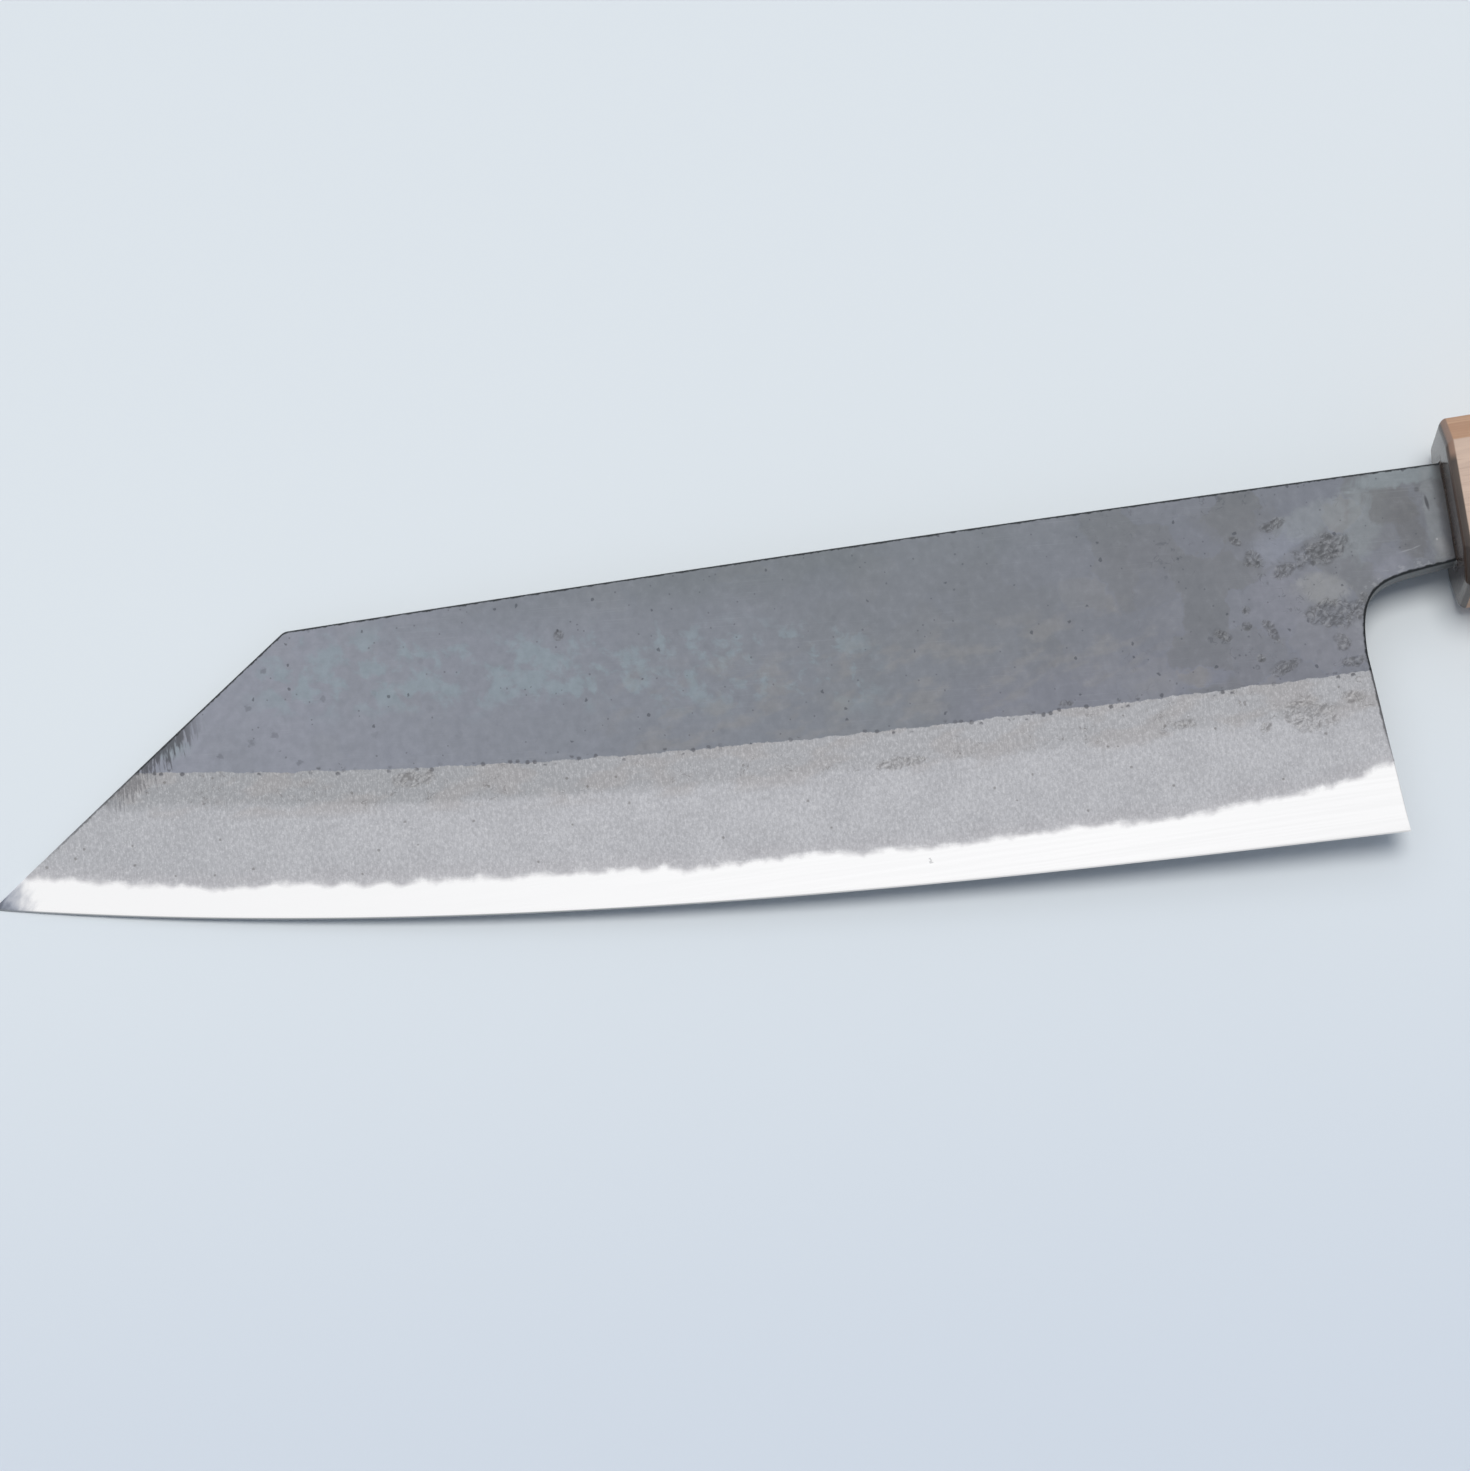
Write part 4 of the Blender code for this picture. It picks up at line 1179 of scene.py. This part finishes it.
def steel_finish():
    """Polished core: bright on the bevel, hazed where it comes out of the iron, dark on the walls, with
    painted shade on the honed strip.
    """
    steel = Finish("core_steel", flat=True)
    over_core, over_edge = steel.mark("over_core"), steel.mark("over_edge")
    bare = steel.mask(CORE_LINE, over_core=over_core)
    sheen = steel.noise(stretch=(30.0, 0.4, 1.0), detail=3.0)
    rubbed = steel.ripple(stretch=(1.2, 2.4, 1.0), turn=40.0, detail=4.0)
    near_tip = steel.add(steel.along, steel.times(rubbed, 3.5))
    specks = steel.mask(SPECKS, density=0.18, share=0.05, radius=0.035)
    # Painted shade: the honed strip along the edge is darker, most towards the tip.
    honed = steel.fade(over_edge, 0.10, 0.24, 1.0, 0.0)
    honed = steel.times(honed, steel.fade(steel.along, -60.0, -120.0, 0.3, 0.9))
    bright = steel.layered(
        steel.blend(steel.fade(sheen, 0.3, 0.7), tone(242, 242, 243), tone(245, 245, 246)),
        (steel.fade(steel.along, -40.0, TIP_X), tone(234, 234, 235)),
        (steel.fade(near_tip, -189.8, -185.2, 0.95, 0.0), tone(140, 146, 160)),
        (steel.fade(near_tip, -190.9, -188.3, 0.9, 0.0), tone(84, 89, 100)),
        (steel.times(specks, 0.45), tone(150, 152, 155)),
        (honed, tone(134, 140, 145)))
    colour = steel.layered(
        tone(176, 175, 180), (bare, bright), (steel.fade(over_core, 0.4, 1.2), tone(84, 87, 91)))
    return steel.done(
        sheen, depth=BUMP_DEPTH / 10, strength=0.2, base_color=colour,
        roughness=steel.fade(bare, 0.0, 1.0, 0.42, 0.20), metallic=1.0)


SEALED_FRONT = tone(76, 61, 52)
FRONT_GLOSS = 0.38              # specular level of the wood and the resin


def wood_finish(name, light, dark, pore, ring_width, waviness, roughness, coat,
                pore_share=0.8, painted_flat_sheen=0.0, sealed_front=False):
    """Oiled wood; a sealed front is dark, glossy end grain, and the corner round it is brown, painted dark
    as shade beside and under the neck.
    """
    wood = Finish(name)
    grain = wood.effect(WOOD, ring_width=ring_width, waviness=waviness, pore_share=1.0)
    patch = wood.noise(stretch=(20.0, 5.0, 5.0), detail=2.0)
    growth = (HANDLE_BUTT_THICKNESS - HANDLE_FRONT_THICKNESS) / HANDLE_LENGTH / 2
    half = wood.less(wood.math("ABSOLUTE", wood.side), wood.times(wood.along, growth))
    flat = wood.fade(half, HANDLE_FRONT_THICKNESS / 2 - 0.30, HANDLE_FRONT_THICKNESS / 2 - 0.05)
    colour = wood.layered(
        light,
        (wood.times(grain["Rings"], 0.55), dark),
        (wood.fade(grain["Fibre"], 0.35, 0.7, 0.0, 0.5), dark),
        (wood.fade(patch, 0.35, 0.7, 0.0, 0.3), light),
        # Painted sheen: the flat faces are paler, as the lamps' sheen would make them.
        (wood.times(flat, painted_flat_sheen), tone(208, 194, 183)),
        (wood.times(grain["Pores"], pore_share), pore))
    rough = wood.add(roughness, wood.times(grain["Fibre"], 0.12))
    if sealed_front:
        # The corner round the front: brown end grain above the neck; lower down it is painted dark as the
        # shade beside and under the neck.
        stain = wood.blend(wood.fade(patch, 0.3, 0.7), tone(76, 67, 61), tone(62, 55, 52))
        stain = wood.blend(wood.fade(wood.up, 4.3, 5.7), stain, tone(138, 112, 97))
        sealed = wood.fade(wood.along, 0.20, 0.45, 1.0, 0.0)
        colour = wood.layered(
            colour, (wood.fade(wood.along, 0.95, 1.15, 1.0, 0.0), stain), (sealed, SEALED_FRONT))
        rough = wood.less(rough, wood.times(sealed, 0.22))
    return wood.done(
        grain["Height"], base_color=colour, roughness=rough, coat_weight=coat, coat_roughness=0.20,
        specular_ior_level=FRONT_GLOSS)


def resin_finish():
    """Dark resin, browner where it lies on the front of the ferrule."""
    resin = Finish("seal_resin")
    cloud = resin.noise(1.6, detail=4.0)
    colour = resin.blend(resin.fade(cloud, 0.45, 0.7), tone(50, 44, 41), tone(62, 54, 50))
    colour = resin.blend(resin.fade(resin.along, -0.10, -0.04, 1.0, 0.0), SEALED_FRONT, colour)
    return resin.done(
        cloud, depth=0.75 * BUMP_DEPTH, strength=0.4, base_color=colour,
        roughness=resin.fade(cloud, 0.3, 0.7, 0.22, 0.30), specular_ior_level=FRONT_GLOSS)


# Handle

JOINT_ROUNDING = 0.15           # where the ferrule meets the body
JOINT_GAP = 0.1
SLOT_CORNER = 0.9
FERRULE_RINGS = 20
BODY_RINGS = 60
QUARTER_TURN = math.pi / 2


def octagonal_handle_group():
    """A tapering octagonal bar along X with softened facets and rounded ends, as geometry nodes.

    Its rings are made one unit apart, then moved to their places, and drawn in where the ends are round.
    """
    octagon = Effect("octagonal_handle", {
        "Start": 0.0, "End": 27.0, "Start Rounding": 1.1, "End Rounding": 0.1, "Height": 22.2,
        "Thickness": 20.3, "Height Growth": 0.0, "Thickness Growth": 0.0, "Facet": 4.1,
        "Facet Rounding": 0.6, "Front Softness": 0.0, "Rings": 20, "Rounding Rings": 6, "Finish": None,
    }, ["Geometry"], kind="GeometryNodeTree", output_kind="Geometry")
    given = octagon.given
    add, less, times = octagon.add, octagon.less, octagon.times

    rounding = given["Rounding Rings"]
    last = less(add(given["Rings"], times(rounding, 2)), 1)
    path = octagon.node("GeometryNodeCurvePrimitiveLine", {
        "Start": (0.0, 0.0, 0.0), "End": octagon.joined(last),
    }).outputs["Curve"]
    path = octagon.node("GeometryNodeResampleCurve", {"Curve": path, "Count": add(last, 1)}).outputs[0]
    section = octagon.node("GeometryNodeCurvePrimitiveQuadrilateral", {
        "Width": given["Height"], "Height": given["Thickness"],
    }).outputs["Curve"]
    for count, radius in ((1, given["Facet"]), (5, given["Facet Rounding"])):
        section = octagon.node("GeometryNodeFilletCurve", {
            "Curve": section, "Count": count, "Radius": radius,
        }, mode="POLY").outputs["Curve"]
    bar = octagon.node("GeometryNodeCurveToMesh", {
        "Curve": path, "Profile Curve": section, "Fill Caps": True,
    }).outputs["Mesh"]

    ring, high, wide = octagon.parts(octagon.node("GeometryNodeInputPosition").outputs[0])
    front = times(octagon.math("DIVIDE", ring, rounding, clamp=True), QUARTER_TURN)
    back = times(octagon.math("DIVIDE", less(last, ring), rounding, clamp=True), QUARTER_TURN)
    middle = octagon.math("DIVIDE", less(ring, rounding), less(last, times(rounding, 2)), clamp=True)
    start, end = given["Start Rounding"], given["End Rounding"]
    straight = less(given["End"], add(given["Start"], start, end))
    x = add(
        given["Start"], times(start, less(1, octagon.math("COSINE", front))), times(middle, straight),
        times(end, octagon.math("COSINE", back)))
    inset = times(2, add(
        times(start, less(1, octagon.math("SINE", front))),
        times(end, less(1, octagon.math("SINE", back)))))

    up = octagon.math("DIVIDE", high, times(given["Height"], 0.5))
    out = octagon.math("DIVIDE", wide, times(given["Thickness"], 0.5))
    reach = octagon.most(1.0, octagon.math("SQRT", add(times(up, up), times(out, out))))
    softness = times(octagon.math("COSINE", front), given["Front Softness"], -1.0)
    rounder = octagon.math("POWER", reach, softness)

    def grown(coordinate, size, growth):
        wanted = less(add(size, times(growth, x)), inset)
        return times(coordinate, octagon.math("DIVIDE", wanted, size), rounder)

    place = octagon.joined(
        x, grown(high, given["Height"], given["Height Growth"]),
        grown(wide, given["Thickness"], given["Thickness Growth"]))
    shaped = octagon.node("GeometryNodeSetPosition", {"Geometry": bar, "Position": place}).outputs[0]
    whole = octagon.node("GeometryNodeRealizeInstances", {"Geometry": shaped}).outputs[0]
    return octagon.closed(Geometry=octagon.node("GeometryNodeSetMaterial", {
        "Geometry": whole, "Material": given["Finish"],
    }).outputs[0])


def evaluated_mesh(piece):
    """The piece's finished shape as a plain mesh."""
    graph = bpy.context.evaluated_depsgraph_get()
    return bpy.data.meshes.new_from_object(piece.evaluated_get(graph))


def handle_bar(tree, sizes):
    """A plain mesh of the bar that the handle's node tree makes with these sizes."""
    carrier = new_object("handle_carrier", bpy.data.meshes.new("handle_carrier"))
    modifier = carrier.modifiers.new("octagon", "NODES")
    modifier.node_group = tree
    sockets = {item.name: item.identifier for item in tree.interface.items_tree if item.in_out == "INPUT"}
    for name, value in sizes.items():
        modifier[sockets[name]] = value
    mesh = evaluated_mesh(carrier)
    bpy.data.objects.remove(carrier)
    return new_object("bar", mesh)


def cut_away(target, shape):
    """Takes a closed shape out of the target's mesh."""
    cutter = new_object("cutter", mesh_of("cutter", shape))
    modifier = target.modifiers.new("cut", "BOOLEAN")
    modifier.operation = "DIFFERENCE"
    modifier.solver = "EXACT"
    modifier.object = cutter
    target.data = evaluated_mesh(target)
    target.modifiers.clear()
    bpy.data.objects.remove(cutter)


def bore_shape():
    """The round hole along the handle that holds the dowel."""
    bm = bmesh.new()
    bmesh.ops.create_cone(bm, cap_ends=True, segments=64, radius1=BORE_RADIUS, radius2=BORE_RADIUS,
                          depth=BORE_END - FRONT_WALL)
    bmesh.ops.transform(bm, matrix=Matrix.Rotation(QUARTER_TURN, 4, "Y"), verts=bm.verts)
    bmesh.ops.translate(bm, vec=((BORE_END + FRONT_WALL) / 2, 0, 0), verts=bm.verts)
    return bm


def slot_shape():
    """The ferrule's mouth, an upright slot with round corners."""
    bm = bmesh.new()
    bmesh.ops.create_cube(bm, size=1.0)
    size = (2 * FRONT_WALL + 2, NECK_HEIGHT + 2 * SLOT_REACH, NECK_THICKNESS + 2 * SLOT_REACH)
    bmesh.ops.scale(bm, vec=size, verts=bm.verts)
    upright = [e for e in bm.edges if abs(e.verts[0].co.x - e.verts[1].co.x) > 1]
    bmesh.ops.bevel(bm, geom=upright, offset=SLOT_CORNER, segments=5, affect="EDGES", profile=0.5)
    return bm


def make_handle(ferrule_wood, handle_wood):
    """The ferrule and the body, which are two stretches of one tapering octagon."""
    tree = octagonal_handle_group()
    shared = {
        "Height": HANDLE_FRONT_HEIGHT, "Thickness": HANDLE_FRONT_THICKNESS, "Facet": FACET,
        "Height Growth": (HANDLE_BUTT_HEIGHT - HANDLE_FRONT_HEIGHT) / HANDLE_LENGTH,
        "Thickness Growth": (HANDLE_BUTT_THICKNESS - HANDLE_FRONT_THICKNESS) / HANDLE_LENGTH,
    }
    ferrule = {
        "Start": 0.0, "End": FERRULE_LENGTH, "Start Rounding": FRONT_ROUNDING,
        "End Rounding": JOINT_ROUNDING, "Front Softness": FRONT_SOFTNESS, "Rings": FERRULE_RINGS,
        "Finish": ferrule_wood,
    }
    body = {
        "Start": FERRULE_LENGTH + JOINT_GAP, "End": HANDLE_LENGTH, "Start Rounding": JOINT_ROUNDING,
        "End Rounding": BUTT_ROUNDING, "Rings": BODY_RINGS, "Finish": handle_wood,
    }
    bars = (
        ("front_ferrule", "ferrule", "ferrule_wood", ferrule, (bore_shape, slot_shape)),
        ("handle_grip", "handle_body", "handle_wood", body, (bore_shape,)),
    )
    for name, node, slot, sizes, hollows in bars:
        bar = handle_bar(tree, shared | sizes)
        for hollow in hollows:
            cut_away(bar, hollow())
        bm = bmesh.new()
        bm.from_mesh(bar.data)
        bpy.data.objects.remove(bar)
        finished_piece(name, bm, sizes["Finish"], slot, node, sharp_angle=HANDLE_SHARP_ANGLE)


def rounded_rectangle(half_high, half_wide, radius, corner_steps=6, side_steps=10):
    """Points round a rectangle in the YZ plane, with evenly divided sides."""
    points = []
    centres = ((1, 1), (-1, 1), (-1, -1), (1, -1))
    for number, (up, out) in enumerate(centres):
        centre = Vector((up * (half_high - radius), out * (half_wide - radius)))
        for step in range(corner_steps + 1):
            angle = QUARTER_TURN * (number + step / corner_steps)
            points.append(centre + radius * Vector((math.cos(angle), math.sin(angle))))
        following = centres[(number + 1) % 4]
        ahead = Vector((following[0] * (half_high - radius), following[1] * (half_wide - radius)))
        angle = QUARTER_TURN * (number + 1)
        ahead += radius * Vector((math.cos(angle), math.sin(angle)))
        start = points[-1]
        points += [start.lerp(ahead, step / side_steps) for step in range(1, side_steps)]
    return points


# Resin: places of its loops along X with how far they reach from the neck, and the lumps of its face
RESIN_WALL = SLOT_REACH + 0.03
RESIN_INNER = 0.02
RESIN_LOOPS = (
    (FRONT_WALL, RESIN_WALL), (0.0, RESIN_WALL), (-0.01, RESIN_WALL - 0.1), (-0.02, RESIN_INNER + 0.35),
    (-0.07, RESIN_INNER + 0.16), (-0.22, RESIN_INNER + 0.01), (FRONT_WALL, RESIN_INNER),
)
RESIN_CORNER = 0.12             # rounding of a loop's corners at the neck, and how it grows with the reach
RESIN_CORNER_GROWTH = 0.8
RESIN_LUMP = 0.9
RESIN_UNEVENNESS = 0.16
RESIN_FACE_REACH = 0.3          # nearer to the neck than this the face is uneven


def make_mouth_resin(finish):
    """The resin round the neck, with an uneven face that climbs the steel a little."""
    bm = bmesh.new()
    rings = []
    for x, reach in RESIN_LOOPS:
        even = reach > RESIN_INNER + RESIN_FACE_REACH or x == FRONT_WALL
        ring = []
        half_high, half_wide = NECK_HEIGHT / 2 + reach, NECK_THICKNESS / 2 + reach
        corner = RESIN_CORNER + RESIN_CORNER_GROWTH * reach
        for spot in rounded_rectangle(half_high, half_wide, corner):
            lump = 0.0 if even else RESIN_UNEVENNESS * noise.noise(Vector((*spot, x)) / RESIN_LUMP)
            ring.append(bm.verts.new((x + lump, spot.x, spot.y)))
        rings.append(ring)
    for first, second in zip(rings, rings[1:] + rings[:1]):
        add_wall(bm, first, second, closed=True)
    finished_piece("mouth_resin", bm, finish, "seal_resin", "mouth_seal")


# Stage, in metres

FLOOR_REACH = 6.0
FLOOR_COLOUR = tone(221, 227, 232)
ROOM_GLOW = (0.215, 0.242, 0.287, 1.0)
ROOM_LIGHT = (-0.20, 0.66, 0.72)        # where the room that metals mirror is brightest
LAMPS = (                               # name, direction, spread in degrees, strength, colour
    ("overhead_softbox", (0.0, 0.08, 1.0), 20.0, 1.80, (1.0, 0.968, 0.918)),
    ("wide_softbox", (-0.12, 0.22, 1.0), 60.0, 0.71, (0.955, 1.0, 1.05)),
)
CAMERA_ELEVATION = math.radians(77.571)
CAMERA_HEADING = math.radians(7.818)
CAMERA_DISTANCE = 0.631835
CAMERA_LENS = 121.03
CAMERA_NEAR_END = 0.01
CAMERA_AIM = Vector((-0.094097, -0.015128, 0.005))      # from under the handle's front


def make_floor():
    """A plain pale floor, darker and bluer towards the viewer by painted shade."""
    bm = bmesh.new()
    bmesh.ops.create_grid(bm, x_segments=1, y_segments=1, size=FLOOR_REACH)
    floor = new_object("floor", mesh_of("floor", bm))
    paint = bpy.data.materials.new("floor_paint")
    paint.use_nodes = True
    bench = Bench(paint.node_tree)
    depth = bench.parts(bench.node("ShaderNodeTexCoord").outputs["Object"])["Y"]
    # Painted shade: the floor darkens towards the viewer, where less light falls.
    colour = bench.blend(bench.fade(depth, -0.12, 0.02), tone(206, 214, 224), tone(221, 227, 231))
    shader = paint.node_tree.nodes["Principled BSDF"]
    bench.feed(shader.inputs["Base Color"], colour)
    bench.feed(shader.inputs["Roughness"], 0.8)
    floor.data.materials.append(paint)


def make_lamps():
    """Soft, distant lamps; metals mirror the pale room instead of them."""
    for name, direction, spread, strength, colour in LAMPS:
        light = bpy.data.lights.new(name, "SUN")
        light.angle = math.radians(spread)
        light.energy = strength
        light.color = colour
        lamp = new_object(name, light)
        lamp.rotation_euler = Vector(direction).to_track_quat("Z", "Y").to_euler()
        lamp.visible_glossy = False


def make_room():
    """An even glow on the object; metals mirror a room with one bright side."""
    world = bpy.data.worlds.new("studio")
    world.use_nodes = True
    bench = Bench(world.node_tree)
    rays = bench.node("ShaderNodeLightPath").outputs
    direction = bench.node("ShaderNodeTexCoord").outputs["Generated"]
    facing = bench.vector("DOT_PRODUCT", direction, tuple(Vector(ROOM_LIGHT).normalized()))
    colour = bench.layered(
        ROOM_GLOW,
        (rays["Is Glossy Ray"], bench.fade(facing, -0.2, 1.0, 0.34, 1.26, kind="LINEAR")),
        (bench.most(rays["Is Camera Ray"], rays["Is Transmission Ray"]), FLOOR_COLOUR))
    bench.feed(world.node_tree.nodes["Background"].inputs["Color"], colour)
    bpy.context.scene.world = world


def make_camera():
    """The photograph's view: nearly from above, from the cutting edge's side."""
    right = Vector((math.cos(CAMERA_HEADING), -math.sin(CAMERA_HEADING), 0.0))
    ahead = Vector((math.sin(CAMERA_HEADING), math.cos(CAMERA_HEADING), 0.0))
    back = -ahead * math.cos(CAMERA_ELEVATION) + Vector((0.0, 0.0, math.sin(CAMERA_ELEVATION)))
    turn = Matrix((right, back.cross(right), back)).transposed().to_quaternion()
    camera = new_object("camera", bpy.data.cameras.new("camera"))
    camera.data.lens = CAMERA_LENS
    camera.data.clip_start = CAMERA_NEAR_END
    aim = CAMERA_AIM + Vector((ORIGIN.x, ORIGIN.y, 0.0))
    camera.matrix_world = Matrix.LocRotScale(aim + back * CAMERA_DISTANCE, turn, None)
    bpy.context.scene.camera = camera


def main():
    """Sets up the stage, then makes the blade, the handle and the resin."""
    make_camera()
    make_lamps()
    make_room()
    make_floor()
    bpy.context.scene.view_settings.view_transform = "Standard"

    outline = Outline()
    iron = iron_finish()
    make_jacket(outline, "left_jacket", 1, LEFT_SCARS, iron, "cladding_left")
    make_jacket(outline, "right_jacket", -1, RIGHT_SCARS, iron, "cladding_right")
    make_core(outline, steel_finish())
    ferrule_wood = wood_finish(
        "ferrule_wood", light=tone(196, 157, 127), dark=tone(160, 117, 88), pore=tone(112, 78, 60),
        ring_width=1.7, waviness=1.0, roughness=0.40, coat=0.12, pore_share=0.14, painted_flat_sheen=0.55,
        sealed_front=True)
    handle_wood = wood_finish(
        "handle_wood", light=tone(168, 124, 92), dark=tone(112, 74, 50), pore=tone(62, 40, 28),
        ring_width=2.6, waviness=1.2, roughness=0.42, coat=0.25)
    dowel_wood = wood_finish(
        "dowel_wood", light=tone(214, 184, 146), dark=tone(180, 146, 106), pore=tone(140, 108, 76),
        ring_width=3.2, waviness=0.8, roughness=0.60, coat=0.0)
    make_handle(ferrule_wood, handle_wood)
    make_mouth_resin(resin_finish())
    for name in ("tang_dowel_left", "tang_dowel_right"):
        for slot in frame["nodes"][name].material_slots:
            slot.material = dowel_wood


main()
